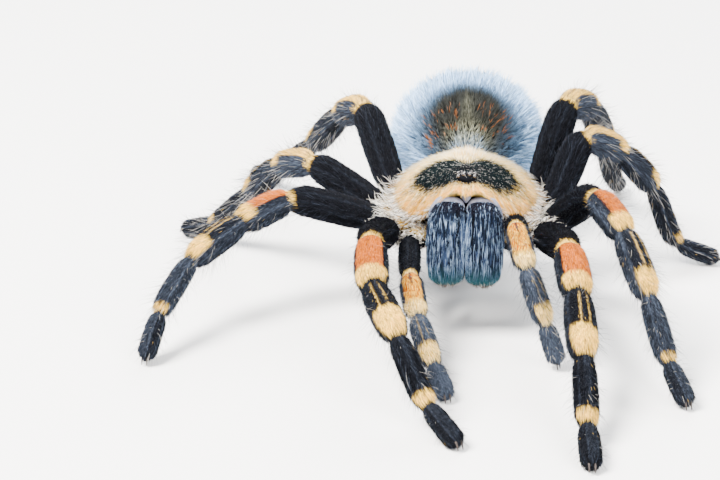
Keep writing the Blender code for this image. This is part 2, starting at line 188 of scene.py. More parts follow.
def tube(line, girth, across, upper, sides):
    """Rings along a line: line + girth (cos(angle) across + sin(angle) upper)."""
    angle = turns(sides)[None, :, None]
    across, upper = np.reshape(across, (-1, 1, 3)), np.reshape(upper, (-1, 1, 3))
    return line[:, None] + girth[:, None, None] * (np.cos(angle) * across + np.sin(angle) * upper)


def body_point(x, forward, up):
    """Places on the body, in metres from the carapace's middle plane, as points of the frame."""
    x, forward, up = np.broadcast_arrays(x, forward, up)
    return BODY + np.stack([x, -forward, up], axis=-1)


def body_place(points):
    """The reverse of body_point: x, forward and up, in millimetres."""
    local = (points - BODY) / MM
    return local[..., 0], -local[..., 1], local[..., 2]


# ---------------------------------------------------------------- limbs


class Limb:
    """A leg or palp. place counts its joints, from 0 where the coxa leaves the body, so 2.5 is halfway
    along the patella. angle is the turn round the limb from its upper side."""

    def __init__(self, kind, letter):
        self.kind, self.letter = kind, letter
        self.side = 1 if letter == "l" else -1
        limb, pose = LIMBS[kind], POSE[kind, letter]
        joints = [body_point(self.side * x * MM, y * MM, z * MM) for x, y, z in limb["coxa"]]
        lengths = [length * LEG_SCALE * MM for length in limb["lengths"]]
        rise = lengths[-1] * math.sin(math.radians(pose["elevation"][-1]))
        for length, azimuth, elevation in zip(lengths, pose["azimuth"], pose["elevation"]):
            if elevation is None:
                fall = joints[-1][2] + rise - FOOT_HEIGHT
                elevation = -math.degrees(math.asin(min(0.995, fall / length)))
            az, el = math.radians(azimuth), math.radians(elevation)
            sideways = self.side * math.cos(az) * math.cos(el)
            step = np.array([sideways, -math.sin(az) * math.cos(el), math.sin(el)])
            joints.append(joints[-1] + length * step)
        self.joints = np.array(joints)
        self.steps = np.diff(self.joints, axis=0)
        self.lengths = np.linalg.norm(self.steps, axis=1)
        self.count = len(self.steps)
        self.radii = np.array(limb["radii"]) * MM

    def line(self, place):
        """Points on the limb's line and its way there. Near a joint the line is the parabola that
        touches both segments."""
        place = np.asarray(place, float)
        ways = self.steps / self.lengths[:, None]
        whole = np.clip(np.floor(place).astype(int), 0, self.count - 1)
        straight = self.joints[whole] + (place - whole)[..., None] * self.steps[whole]
        near = np.clip(np.round(place).astype(int), 1, self.count - 1)
        reach = np.minimum(BEND, 0.42 * np.minimum(self.lengths[near - 1], self.lengths[near]))
        length = np.where(place < near, self.lengths[near - 1], self.lengths[near])
        offset = (place - near) * length / reach
        t = (0.5 + 0.5 * np.clip(offset, -1, 1))[..., None]
        corner = self.joints[near]
        start = corner - reach[..., None] * ways[near - 1]
        end = corner + reach[..., None] * ways[near]
        curve = (1 - t) ** 2 * start + 2 * t * (1 - t) * corner + t**2 * end
        turning = unit((1 - t) * (corner - start) + t * (end - corner))
        bent = (np.abs(offset) < 1)[..., None]
        return np.where(bent, curve, straight), np.where(bent, turning, ways[whole])

    def girth(self, place):
        """The solid's half thickness: r (1 - 0.24 (1 - t)^5 - 0.13 t^8) along a segment, joined over
        each joint, and closed by a quarter circle at the tip."""
        knots, sizes = [0.0], [0.75 * self.radii[0]]
        for index, radius in enumerate(self.radii):
            for t in STATIONS:
                knots.append(index + t)
                sizes.append(radius * (1 - 0.24 * (1 - t) ** 5 - 0.13 * t**8))
            following = self.radii[min(index + 1, self.count - 1)]
            knots.append(index + 1.0)
            sizes.append(0.5 * (0.87 * radius + 0.78 * following))
        size = np.interp(place, knots, sizes)
        closing = np.clip((np.asarray(place, float) - (self.count - 0.2)) / 0.2, 0, 1)
        return size * np.sqrt(np.maximum(1 - closing**2.4, 0.0004))

    def crease(self, place):
        """How far the limb draws in just past each joint of its free segments."""
        near = np.clip(np.round(place).astype(int), 2, self.count - 1)
        past = (place - near) * self.lengths[near] - 0.35 * MM
        return 0.26 * MM * np.exp(-((past / (0.6 * MM)) ** 2))

    def surface(self, place, angle, inset=0.0):
        """line + girth (cos(angle) upper + sin(angle) across), pressed flat where it meets the floor."""
        place, angle = np.broadcast_arrays(np.asarray(place, float), angle)
        point, way = self.line(place)
        upper = unit(UP - (way @ UP)[..., None] * way)
        across = self.side * np.cross(way, upper)
        full = self.girth(place)
        size = np.maximum(full - self.crease(place) - inset, 0.12 * full)[..., None]
        found = point + size * (np.cos(angle)[..., None] * upper + np.sin(angle)[..., None] * across)
        found[..., 2] = np.maximum(found[..., 2], SKIN_CLEARANCE)
        return found

    def form(self, inset, start=0.0):
        """The surface from a place outwards, as a function of u along and v round, each from 0 to 1."""

        def placed(u, v):
            return self.surface(start + u * (self.count - start), (v - 0.5) * math.tau, inset)

        return placed

    def marks(self, place, angle):
        """How warm (orange), pale (cream) and slate the coat is, where slate is blue-grey hair together with
        painted sheen, the sky's reflection on the black hair painted as slate streaks. Knees are orange in
        front of a cream band, shins have two cream lines that run into a cream end, and the next segment a
        cream cuff."""
        place, angle = np.broadcast_arrays(np.asarray(place, float), angle)
        whole = np.clip(np.floor(place), 0, self.count - 1)  # 0 is the coxa
        t = place - whole
        turn = np.abs(np.degrees(np.angle(np.exp(1j * angle))) + ROLL.get((self.kind, self.letter), 0))
        palp, rear = self.kind == "palp", self.kind in ("leg_3", "leg_4")
        femur, knee, shin = whole == 1, whole == 2, whole == 3
        cuff, foot = (whole == 4) & (not palp), whole == self.count - 1
        wave = 4 * np.sin(9 * angle) + 3 * np.sin(17 * angle + 1)

        def upper(low, high):
            """1 on the upper side, with a wavy edge between two turns away from it."""
            return 1 - soft(turn + wave, low, high)

        narrowing = 3 * (1 - t / 0.36)
        slit = (1 - soft(turn, 3.0 + narrowing, 8.0 + narrowing)) * (t < 0.36)
        flank = {"palp": 50, "leg_1": 56}.get(self.kind, 44)
        patch = within(t, 0.1, 0.76, 0.035) * upper(flank - 6, flank + 8)
        warm = np.where(knee, patch * (1 - (0.85 if palp else 0.45) * slit), 0.0)

        rim = (1 - soft(t, 0.06, 0.12)) * (1 - soft(turn, 80, 115))
        line = np.exp(-(((turn - 17) / 4.5) ** 2)) * within(t, 0.1, 0.68, 0.06)
        end = soft(t + 0.004 * wave, 0.60, 0.72) * upper(58, 80)
        cuff_start = 0.87 if self.kind == "leg_2" else 0.80
        bands = (
            (whole == 0, 0.55 * (1 - soft(turn, 60, 110))),
            (femur, 0.5 * soft(t, 0.965, 0.995)),
            (knee, 0.8 * rim),
            (knee, soft(t, 0.68, 0.80) * upper(66, 84)),
            (shin, np.maximum((0.35 if palp else 0.6) * line, end)),
            (cuff, soft(t, cuff_start, cuff_start + 0.08) * upper(72, 96)),
        )
        pale = np.max([np.where(segment, band, 0.0) for segment, band in bands], axis=0)

        # Painted sheen: lengthwise streaks, and a stripe along the top of the last segments, lighten the
        # black towards slate in place of the sky's reflection
        lengthwise = np.sin(7 * angle + 2.2 * place) + np.sin(13 * angle - 1.7 * place + 1)
        streak = soft(lengthwise + np.sin(19 * angle + 2), 0.2, 1.6)
        slate = 0.12 + 0.5 * streak + 0.3 * np.exp(-((turn / 20) ** 2)) * (cuff | foot)
        slate = np.where(knee | shin, 0.16 + 0.55 * streak + 0.3 * within(turn, 62, 120, 12), slate)
        slate = np.where(femur, 0.05 + 0.12 * streak, slate)
        slate = slate * {"leg_1": 0.35, "leg_4": 0.7}.get(self.kind, 0.85)
        if self.kind == "leg_2":
            slate = np.where(cuff, 0.35 + 0.6 * streak, slate)
        if palp:
            slate = np.where(shin | foot, 0.75 + 0.5 * streak, np.where(knee, 0.5, slate))
        if rear:
            warm, pale = 0.3 * warm, np.maximum(pale, 0.65 * warm)
            slate = np.where(knee, 0.55 + 0.4 * streak, slate)
        return {"warm": warm, "pale": pale, "slate": np.clip(slate, 0, 1)}


ALL_LIMBS = {key: Limb(*key) for key in POSE}


# ---------------------------------------------------------------- body forms


def carapace_rim(theta):
    """The rim's x, forward and up, with theta 0 in front. The rim has an arch over each jaw, with a
    dip between them, drops at the front corners and lifts over the waist."""
    theta = np.asarray(theta, float)
    s, c = np.sin(theta), np.cos(theta)
    taper = 1 - 0.13 * np.maximum(0.0, c) ** 1.5
    x = 0.5 * CARAPACE_WIDTH * np.sign(s) * np.abs(s) ** 0.9 * taper
    forward = 0.5 * CARAPACE_LENGTH * np.sign(c) * np.abs(c) ** 0.85
    turn = np.degrees(np.abs(np.angle(np.exp(1j * theta))))
    up = -0.9 + 3.2 * ((1 - c) / 2) ** 2.4
    up = up + 4.9 * np.exp(-((turn / 32) ** 2)) - 0.85 * np.exp(-((turn / 6) ** 2))
    up = up - 0.5 * np.exp(-(((turn - 50) / 20) ** 2))
    return x, forward, up * MM


def carapace_top(share, theta, inset=0.0):
    """The dome 1 - share^2.6 with a raised head in front and a pit behind, dropped to the rim by
    share^3, less the coat."""
    x, forward, up = carapace_rim(theta)
    x, forward = x * share, forward * share
    dome = 4.0 * MM * (1 - share**2.6)
    head = 0.7 * MM * np.exp(-((x / (4.6 * MM)) ** 2) - ((forward - 5.8 * MM) / (4.2 * MM)) ** 2)
    pit = 0.5 * MM * np.exp(-((x / (1.4 * MM)) ** 2) - ((forward + 1.6 * MM) / (1.5 * MM)) ** 2)
    furrows = 0.1 * MM * np.sin(5 * theta) ** 2 * share * (1 - share**3)
    height = up * share**3 + dome + head * (1 - share**6) - pit - furrows - inset
    trim = 1 - inset / (20 * MM)
    return body_point(x * trim, forward * trim, height)


def carapace_floor(share, theta, drop=0.0, trim=1.0):
    """The underside: the rim drawn in by share, its height by share^2, sagging 0.35 mm outwards."""
    x, forward, up = carapace_rim(theta)
    x, forward = x * share * trim, forward * share * trim
    return body_point(x, forward, up * share**2 - 0.35 * MM * share - drop)


def belly_point(fall, theta, inset=0.0):
    """The sides and underside of the front body: fall runs from 0 under the rim to 1 in the middle of
    the sternum. The outline is 0.8 cos(90 fall)^0.6 of the rim's, and the depth follows its sine."""
    rim_x, rim_forward, _ = carapace_rim(theta)
    quarter = 0.5 * math.pi * fall
    share = 0.8 * np.maximum(np.cos(quarter), 0.0) ** 0.6
    depth = (1.6 + 4.4 * np.sin(quarter)) * MM - inset * np.sin(quarter)
    share = share * (1 - inset / (8 * MM))
    return body_point(rim_x * share, rim_forward * share * 0.98, -depth)


def abdomen_point(fall, turn, inset=0.0):
    """fall runs from 0 at the waist to pi behind, turn round the body from its left side over the
    back. The radius is sin(fall)^0.92 (1 - 0.1 cos(fall)), flatter underneath."""
    full = np.maximum(np.sin(fall), 0.0) ** 0.92 * (1 - 0.10 * np.cos(fall))
    x = (0.5 * ABDOMEN_WIDTH - inset) * full * np.cos(turn)
    z = (0.5 * ABDOMEN_HEIGHT - inset) * full * np.sin(turn)
    z = np.where(z < 0, 0.86 * z, z)
    back = -(0.5 * ABDOMEN_LENGTH - inset) * np.cos(fall)
    tilted_back = back * math.cos(ABDOMEN_TILT) - z * math.sin(ABDOMEN_TILT)
    tilted_up = back * math.sin(ABDOMEN_TILT) + z * math.cos(ABDOMEN_TILT)
    x0, forward0, up0 = ABDOMEN_MIDDLE
    return body_point(x0 + x, forward0 - tilted_back, up0 + tilted_up)


def jaw_line(t):
    """A parabola from under the carapace's rim forward and down, in millimetres."""
    t = np.asarray(t, float)[..., None]
    root, knee, end = np.array([[2.62, 7.6, -1.1], [2.75, 13.9, 2.2], [2.62, 14.0, -8.0]])
    return (1 - t) ** 2 * root + 2 * t * (1 - t) * knee + t**2 * end


def jaw_surface(side, t, angle, inset=0.0):
    """Cross-sections sign(c) |c|^p and sign(s) |s|^p of the angle's cosine and sine: oval outside
    with p = 0.85, squarer inside with p = 0.6, where it reaches the other jaw, closing below."""
    t, angle = np.broadcast_arrays(np.asarray(t, float), angle)
    c, s = np.cos(angle), np.sin(angle)
    power = np.where(c < 0, 0.6, 0.85)
    across, front = np.sign(c) * np.abs(c) ** power, np.sign(s) * np.abs(s) ** power
    place = jaw_line(np.clip(t, 0, 1))
    ahead = unit((jaw_line(t + 0.01) - jaw_line(t - 0.01)) * np.array([0, 1, 1]))
    full = np.interp(t, list(JAW_FULLNESS), list(JAW_FULLNESS.values()))
    closing = np.sqrt(np.maximum(1 - np.clip((t - 0.85) / 0.15, 0, 1) ** 2.6, 0.002))
    depth = (2.9 * full * (1 - 0.12 * t) - inset / MM) * closing * front
    width = np.where(c < 0, place[..., 0] + 0.02, 2.45 * full - inset / MM)
    x = place[..., 0] + width * closing * across
    forward = place[..., 1] - ahead[..., 2] * depth
    up = place[..., 2] + ahead[..., 1] * depth
    return body_point(side * x * MM, forward * MM, up * MM)


def mound_centre():
    """The middle of the eyes' mound, on the carapace 6.7 mm ahead of its middle."""
    return carapace_top(6.7 * MM / (0.5 * CARAPACE_LENGTH), 0.0) + 0.15 * MM * UP


# ---------------------------------------------------------------- markings


def abdomen_marks(fall, turn):
    """A dark patch in two lobes on the front of the back, greenish cream hair in front of it and in its
    middle, and blue fuzz all round. moss is the share of the greenish cream."""
    x, forward, up = body_place(abdomen_point(fall, turn))
    across = x / (8.0 + 0.5 * np.sin(3 * turn))
    lobe = 4.7 + 3.1 * within(np.abs(x), 2.4, 7.0, 1.2)
    along = (forward + 16.6) / np.where(forward > -16.6, lobe, 6.2)
    below = np.where(up < 0, 2.0, 0.0)
    patch = 1 - soft(np.sqrt(across**2 + along**2) + below, 0.58, 1.26)
    front = np.exp(-((x / 2.7) ** 2) - ((forward + 12.6) / 1.5) ** 2)
    middle = 0.2 * np.exp(-((x / 0.8) ** 2) - ((forward + 16.5) / 3.0) ** 2)
    moss = np.clip(front + middle * patch, 0, 1)
    behind = soft(fall, 1.8, 2.55)
    return {"warm": 0.0, "pale": 0.0, "slate": (1 - patch) * (1 - 0.92 * behind), "moss": moss}


def rust_clumps(count=64):
    """Where the rusty hairs stand, as x and forward in millimetres: two loose groups, left and right."""
    chance = np.random.default_rng(299)
    side = np.where(np.arange(count) % 2, 1, -1)
    return side * (1.3 + 4.6 * chance.random(count)), -14.2 - 4.2 * chance.random(count)


def carapace_marks(x, forward):
    """A black patch spreads back from the eyes over the front half; the rest is tan. x and forward are
    in millimetres."""
    front = 8.0 - 4.1 * (np.abs(x) / 7.0) ** 1.5 - 1.1 * soft(np.abs(x), 5.2, 7.4)
    notch = 0.4 * np.exp(-((x / 1.1) ** 2))
    rear = -2.6 + notch + 0.2 * np.sin(2.2 * x) + 3.0 * (np.abs(x) / 7.2) ** 4
    inside = soft(front - forward, -0.4, 0.6) * soft(forward - rear, -0.5, 0.8)
    return inside * (1 - soft(np.abs(x) - 0.10 * forward, 6.5, 8.3))


def jaw_marks(t, angle):
    """Dark at the top and teal below, with long pale streaks that run down between black ones, a
    paler strip beside the middle plane and a black stripe next to it. The inner faces, where the two jaws
    meet, are painted black as the shade in the groove between them."""
    t, angle = np.broadcast_arrays(np.asarray(t, float), angle)
    bend = angle + 0.10 * np.sin(5 * t)
    combed = np.sin(29 * bend + 1) + np.sin(53 * bend + 2) + np.sin(83 * bend + 4 * t)
    streak = soft(combed, -0.2, 1.6) * soft(t, 0.22, 0.5) * (1 - 0.5 * soft(t, 0.78, 0.92))
    across = -np.cos(angle) * (np.sin(angle) > 0)
    strip = np.exp(-(((across - 0.80) / 0.16) ** 2)) * within(t, 0.26, 0.82, 0.1)
    stripe = np.exp(-(((across - 0.46) / 0.11) ** 2)) * within(t, 0.2, 0.66, 0.1)
    # Painted shade: the inner faces, where the jaws meet, go black for the shade in the groove between them
    clear_of_groove_shade = 1 - soft(-np.cos(angle) + 0.07 * soft(t, 0.45, 0.75), 0.93, 0.98)
    slate = np.clip(0.12 + 0.62 * streak + 0.55 * strip, 0, 1) * (1 - 0.95 * stripe) * clear_of_groove_shade
    slate = slate * (0.25 + 0.75 * soft(t, 0.22, 0.46))
    crown = 1 - soft(t, 0.17, 0.25)
    slate = np.maximum(slate, 0.35 * crown * clear_of_groove_shade)
    warm = (1 - soft(t, 0.20, 0.42)) * clear_of_groove_shade * (1 - crown)
    teal = soft(t, 0.72, 0.93) ** 1.2 * clear_of_groove_shade
    return {"warm": warm, "slate": slate, "teal": teal}


# ---------------------------------------------------------------- meshes


def signed_volume(points, quads, tris):
    """Six times the volume: the sum of a . (b x c) over the triangles, above 0 if they face outwards."""

    def part(a, b, c):
        return np.einsum("ij,ij->i", points[a], np.cross(points[b], points[c])).sum()

    total = part(tris[:, 0], tris[:, 1], tris[:, 2]) if len(tris) else 0.0
    if len(quads):
        total += part(quads[:, 0], quads[:, 1], quads[:, 2])
        total += part(quads[:, 0], quads[:, 2], quads[:, 3])
    return total


def make_mesh(name, points, quads, tris, values=None, unwrap=None):
    """A closed mesh from whole arrays. values are float attributes of the points, unwrap is the place
    of each point on the coat's bake map."""
    quads = np.asarray(quads, np.int32).reshape(-1, 4)
    tris = np.asarray(tris, np.int32).reshape(-1, 3)
    if signed_volume(points - points.mean(axis=0), quads, tris) < 0:
        quads, tris = quads[:, ::-1], tris[:, ::-1]
    corners = np.concatenate([quads.ravel(), tris.ravel()])
    starts = np.concatenate([np.arange(len(quads)) * 4, 4 * len(quads) + np.arange(len(tris)) * 3])
    mesh = bpy.data.meshes.new(name)
    mesh.vertices.add(len(points))
    mesh.vertices.foreach_set("co", points.astype(np.float32).ravel())
    mesh.loops.add(len(corners))
    mesh.loops.foreach_set("vertex_index", corners)
    mesh.polygons.add(len(starts))
    mesh.polygons.foreach_set("loop_start", starts.astype(np.int32))
    mesh.update(calc_edges=True)
    for key, array in (values or {}).items():
        held = mesh.attributes.new(key, "FLOAT", "POINT")
        held.data.foreach_set("value", np.broadcast_to(array, len(points)).astype(np.float32))
    if unwrap is not None:
        held = mesh.uv_layers.new(name="OFBake")
        held.data.foreach_set("uv", unwrap[corners].astype(np.float32).ravel())
    mesh.shade_smooth()
    made = bpy.data.objects.new(name, mesh)
    bpy.context.scene.collection.objects.link(made)
    return made


def grid_faces(rows, columns):
    """Quads of a grid whose columns close on themselves, and the fans of its two poles, whose points
    follow the grid's."""
    i, j = np.meshgrid(np.arange(rows - 1), np.arange(columns), indexing="ij")
    k = (j + 1) % columns
    quads = np.stack([i * columns + j, i * columns + k, (i + 1) * columns + k, (i + 1) * columns + j], -1)
    j = np.arange(columns)
    k = (j + 1) % columns
    first, last = rows * columns, rows * columns + 1
    near = np.stack([k, j, np.full(columns, first)], -1)
    far = np.stack([(rows - 1) * columns + j, (rows - 1) * columns + k, np.full(columns, last)], -1)
    return quads.reshape(-1, 4), np.concatenate([near, far])


def closed_form(points, values=None):
    """Points, faces and float attributes of a grid of rings, closed by a pole at each end."""
    rows, columns = points.shape[:2]
    quads, tris = grid_faces(rows, columns)
    flat = np.concatenate([points.reshape(-1, 3), [points[0].mean(axis=0), points[-1].mean(axis=0)]])
    if signed_volume(flat - flat.mean(axis=0), quads, tris) < 0:
        quads, tris = quads[:, ::-1], tris[:, ::-1]
    held = {}
    for key, array in (values or {}).items():
        array = np.broadcast_to(array, (rows, columns))
        held[key] = np.concatenate([array.ravel(), [array[0].mean(), array[-1].mean()]])
    return flat, quads, tris, held


def loft(name, points, values=None):
    """One closed form as a mesh."""
    return make_mesh(name, *closed_form(points, values))


def joined(name, pieces, unwrap=None):
    """Many closed forms as one mesh, with the float attributes they share."""
    points, quads, tris, values, start = [], [], [], {}, 0
    for part_points, part_quads, part_tris, part_values in pieces:
        points.append(part_points)
        quads.append(part_quads + start)
        tris.append(part_tris + start)
        start += len(part_points)
        for key, array in part_values.items():
            values.setdefault(key, []).append(array)
    values = {key: np.concatenate(arrays) for key, arrays in values.items()}
    arrays = [np.concatenate(group) for group in (points, quads, tris)]
    return make_mesh(name, *arrays, values, unwrap)


def union(name, base, others):
    """One closed skin from forms that run into each other."""
    for other in others:
        step = base.modifiers.new(other.name, "BOOLEAN")
        step.operation, step.object, step.solver = "UNION", other, "MANIFOLD"
    shown = base.evaluated_get(bpy.context.evaluated_depsgraph_get())
    mesh = bpy.data.meshes.new_from_object(shown)
    made = bpy.data.objects.new(name, mesh)
    mesh.name = name
    bpy.context.scene.collection.objects.link(made)
    for piece in (*others, base):
        bpy.data.objects.remove(piece)
    mesh.shade_smooth()
    return made


# ---------------------------------------------------------------- coat


CANDIDATES = 5  # places drawn for each hair, of which one is taken
PATCH = 0.003  # a hair's width and height on the bake map
MAP_START, MAP_WIDTH = 0.01, 0.975  # the part of the bake map that hairs' places fill


def frame_at(form, u, v, step=0.0015):
    """The point, the way along u, the outward normal and the area there, from small differences."""
    point = form(u, v)
    along = form(np.clip(u + step, 0, 1), v) - form(np.clip(u - step, 0, 1), v)
    round_it = form(u, v + step) - form(u, v - step)
    normal = np.cross(along, round_it)
    area = np.linalg.norm(normal, axis=-1)
    normal = unit(normal)
    outward = np.sum((point - point.mean(axis=0)) * normal * area[:, None])
    return point, unit(along), normal * np.sign(outward), area


def scatter(form, count, seed, keep=None):
    """Places spread evenly over a form's surface, thinned where keep(u, v) is low."""
    chance = np.random.default_rng(seed)
    u, v = chance.random(count * CANDIDATES), chance.random(count * CANDIDATES)
    area = frame_at(form, u, v)[3]
    weight = area * (keep(u, v) if keep else 1.0)
    picked = chance.choice(len(u), size=count, replace=False, p=weight / weight.sum())
    return u[picked], v[picked]


def tufts(root, normal, lie, length, width, lift, bend, sway=0.0, rings=1):
    """Thin three-sided hairs as one mesh. A hair's line is root + L (s cos(lift) lie + s sin(lift)
    (1 - bend s) normal + sway s^2 side), and its thickness falls to a point at s = 1. Returns
    points, faces, how far along its hair each point is, and which hair it belongs to."""
    count = len(root)
    length, width, lift, bend, sway = (
        np.broadcast_to(np.asarray(a, float), count)[:, None] for a in (length, width, lift, bend, sway)
    )
    lie = unit(lie - np.sum(lie * normal, axis=1, keepdims=True) * normal)
    side = np.cross(lie, normal)
    levels, shares = [], []
    for ring in range(rings + 1):
        s = ring / rings
        rise = np.sin(lift) * s * (1 - bend * s)
        line = root + length * (np.cos(lift) * s * lie + rise * normal + sway * s * s * side)
        line = line - ROOT_DEPTH * normal * (1 - s)
        if ring == rings:
            levels.append(line[:, None])
            shares.append([1.0])
            break
        slope = np.sin(lift) * (1 - 2 * bend * s)
        over = unit(np.cross(side, unit(np.cos(lift) * lie + slope * normal)))
        size = 0.5 * width * (1 - 0.45 * s)
        corners = [
            line + size * (math.cos(a) * side + 0.6 * math.sin(a) * over)
            for a in (math.pi / 2, math.pi * 7 / 6, math.pi * 11 / 6)
        ]
        levels.append(np.stack(corners, axis=1))
        shares.append([s] * 3)
    points = np.concatenate(levels, axis=1)
    each = points.shape[1]
    quads, tris = [], []
    for ring in range(rings):
        base = 3 * ring
        for k in range(3):
            m = (k + 1) % 3
            if ring == rings - 1:
                tris.append((base + k, base + m, each - 1))
            else:
                quads.append((base + k, base + m, base + 3 + m, base + 3 + k))
    tris.append((2, 1, 0))
    starts = np.arange(count)[:, None, None] * each
    quads = (np.array(quads, int).reshape(1, -1, 4) + starts).reshape(-1, 4)
    tris = (np.array(tris, int).reshape(1, -1, 3) + starts).reshape(-1, 3)
    share = np.tile(np.concatenate(shares), count)
    owner = np.repeat(np.arange(count), each)
    points = points.reshape(-1, 3)
    points[:, 2] = np.maximum(points[:, 2], HAIR_CLEARANCE)
    return points, quads, tris, share, owner


def planted(form, count, seed, keep=None, draws=None):
    """Hairs on a form: their places u and v, roots, ways, normals, and the chance for the rest."""
    u, v = scatter(form, count, seed, keep)
    root, along, normal, _ = frame_at(form, u, v)
    return u, v, root, along, normal, np.random.default_rng(draws or seed + 1)


def strewn(along, normal, spread, chance):
    """The way along, swung to either side by up to half the spread."""
    side = np.cross(along, normal)
    return along + side * spread * (chance.random(len(along))[:, None] - 0.5)


def on_map(u, v):
    """The hairs' places on their piece's bake map."""
    return np.stack([u, v], axis=1)


def coat_piece(name, parts, seed):
    """A coat piece from parts, each a set of tufts with its places on the bake map and marks per hair.
    Each hair is a small patch at its root's place."""
    chance = np.random.default_rng(seed)
    pieces, unwrap = [], []
    for (points, quads, tris, share, owner), places, marks in parts:
        hairs = len(places)
        marks = {**marks, "tone": chance.random(hairs)}
        values = {key: np.broadcast_to(array, hairs)[owner] for key, array in marks.items()}
        pieces.append((points, quads, tris, {**values, "tip": share}))
        corner = np.arange(len(points)) % 3
        spread = PATCH * np.stack([0.5 * corner, share], axis=1)
        unwrap.append(MAP_START + MAP_WIDTH * places[owner] + spread)
    return joined(name, pieces, np.concatenate(unwrap))


# ---------------------------------------------------------------- shaders


HAIR_GLOSS = 0.03  # hair and the skin under it hardly shine


class Shade:
    """One output of a node tree. Arithmetic on it adds Math nodes."""

    def __init__(self, tree, socket):
        self.tree, self.socket = tree, socket

    def node(self, kind, settings=None, sockets=None, output=0):
        """Adds a node of a kind: its settings first, then its sockets' values or links."""
        added = self.tree.nodes.new(kind)
        for key, value in (settings or {}).items():
            setattr(added, key, value)
        for key, value in (sockets or {}).items():
            if isinstance(value, Shade):
                self.tree.links.new(value.socket, added.inputs[key])
            else:
                added.inputs[key].default_value = value
        return Shade(self.tree, added.outputs[output])

    def maths(self, operation, first, second):
        """One Math node."""
        return self.node("ShaderNodeMath", {"operation": operation}, {0: first, 1: second})

    def __add__(self, other):
        return self.maths("ADD", self, other)

    def __sub__(self, other):
        return self.maths("SUBTRACT", self, other)

    def __rsub__(self, other):
        return self.maths("SUBTRACT", other, self)

    def __mul__(self, other):
        return self.maths("MULTIPLY", self, other)

    def __pow__(self, other):
        return self.maths("POWER", self, other)

    def __rpow__(self, other):
        return self.maths("POWER", other, self)

    __radd__ = __add__
    __rmul__ = __mul__

    def between(self, low, high):
        """0 at low and 1 at high, eased."""
        sockets = {0: self, 1: low, 2: high}
        return self.node("ShaderNodeMapRange", {"interpolation_type": "SMOOTHSTEP"}, sockets)

    def blend(self, first, second):
        """The colour first where this is 0 and second where it is 1."""
        first, second = ((*c, 1.0) if isinstance(c, tuple) else c for c in (first, second))
        return self.node("ShaderNodeMix", {"data_type": "RGBA"}, {0: self, 6: first, 7: second}, 2)

    def tint(self, colour):
        """The colour made lighter or darker by this."""
        settings = {"data_type": "RGBA", "blend_type": "MULTIPLY"}
        colour = (*colour, 1.0) if isinstance(colour, tuple) else colour
        grey = self.node("ShaderNodeCombineColor", None, {0: self, 1: self, 2: self})
        return self.node("ShaderNodeMix", settings, {0: 1.0, 6: colour, 7: grey}, 2)


def new_material(name, sockets):
    """A material whose shader has these constant sockets, and a Shade to build its pattern from."""
    material = bpy.data.materials.new(name)
    material.use_nodes = True
    tree = material.node_tree
    shader = tree.nodes["Principled BSDF"]
    for key, value in sockets.items():
        shader.inputs[key].default_value = value
    coordinates = tree.nodes.new("ShaderNodeTexCoord")
    return material, shader, Shade(tree, coordinates.outputs["Object"])


def attribute(shade, name):
    """The mesh's float attribute of this name."""
    return shade.node("ShaderNodeAttribute", {"attribute_name": name}, None, 2)


def noise(shade, size, detail=3.0, rough=0.5):
    """Noise whose blobs are about size across."""
    return shade.node("ShaderNodeTexNoise", None, {0: shade, 2: 1 / size, 3: detail, 4: rough})


def bump(height, depth, strength):
    """A Normal that rises and falls with the height, by the depth."""
    return height.node("ShaderNodeBump", None, {"Height": height, "Distance": depth, "Strength": strength})


def connect(shader, key, value):
    """Feeds one of the shader's sockets."""
    value.tree.links.new(value.socket, shader.inputs[key])


def coat_material(name, shades, roughness=0.6, tip=0.35, end_mark=None):
    """Hair whose colour goes from dark over slate, which carries painted sheen as well as blue-grey hair, to
    warm and pale by its marks, with each hair a little lighter or darker. The last shade comes by end_mark,
    or at a light hair's tip."""
    material, shader, place = new_material(name, {"Roughness": roughness, "Specular IOR Level": HAIR_GLOSS})
    dark, slate, warm, pale, end = shades
    warmth, paleness = attribute(place, "warm"), attribute(place, "pale")
    cloud = noise(place, 1.6 * MM, detail=2.0)
    colour = attribute(place, "slate").blend(dark, slate)
    colour = (warmth + (cloud - 0.5) * 0.5 * warmth).between(0.0, 0.9).blend(colour, warm)
    colour = paleness.between(0.05, 0.95).blend(colour, pale)
    if end_mark:
        ending = attribute(place, end_mark) * 0.85
    else:
        ending = (attribute(place, "tip") ** 1.6) * (warmth + paleness).between(0.1, 0.6) * tip
    level = (attribute(place, "tone") * 0.55 + 0.72) * (cloud * 0.4 + 0.8)
    connect(shader, "Base Color", level.tint(ending.blend(colour, end)))
    return material


def skin_material(name, shades, dim, streak, depth):
    """Skin under the coat, in the coat's colours, with a fine streaky bump."""
    material, shader, place = new_material(name, {"Roughness": 0.75, "Specular IOR Level": HAIR_GLOSS})
    dark, slate, warm, pale = shades
    cloud = noise(place, 0.9 * MM)
    colour = attribute(place, "slate").blend(dark, slate)
    colour = attribute(place, "warm").between(0.1, 0.8).blend(colour, warm)
    colour = attribute(place, "pale").between(0.1, 0.9).blend(colour, pale)
    grain = noise(place, streak, detail=4.0, rough=0.65)
    level = (cloud * 0.5 + 0.5) * (grain * 0.7 + 0.65) * dim
    connect(shader, "Base Color", level.tint(colour))
    connect(shader, "Normal", bump(grain, depth, strength=0.8))
    return material


def plain_finish(name, shades, size, roughness, coat=0.0, depth=0.02 * MM):
    """A finish in clouds of two tones, with a slight bump, for horn, eyes and bare skin."""
    sockets = {"Roughness": roughness, "Coat Weight": coat, "Coat Roughness": 0.06}
    material, shader, place = new_material(name, sockets)
    cloud = noise(place, size)
    connect(shader, "Base Color", cloud.between(0.35, 0.65).blend(*shades))
    connect(shader, "Normal", bump(cloud, depth, strength=0.5))
    return material


# ---------------------------------------------------------------- what a user can change


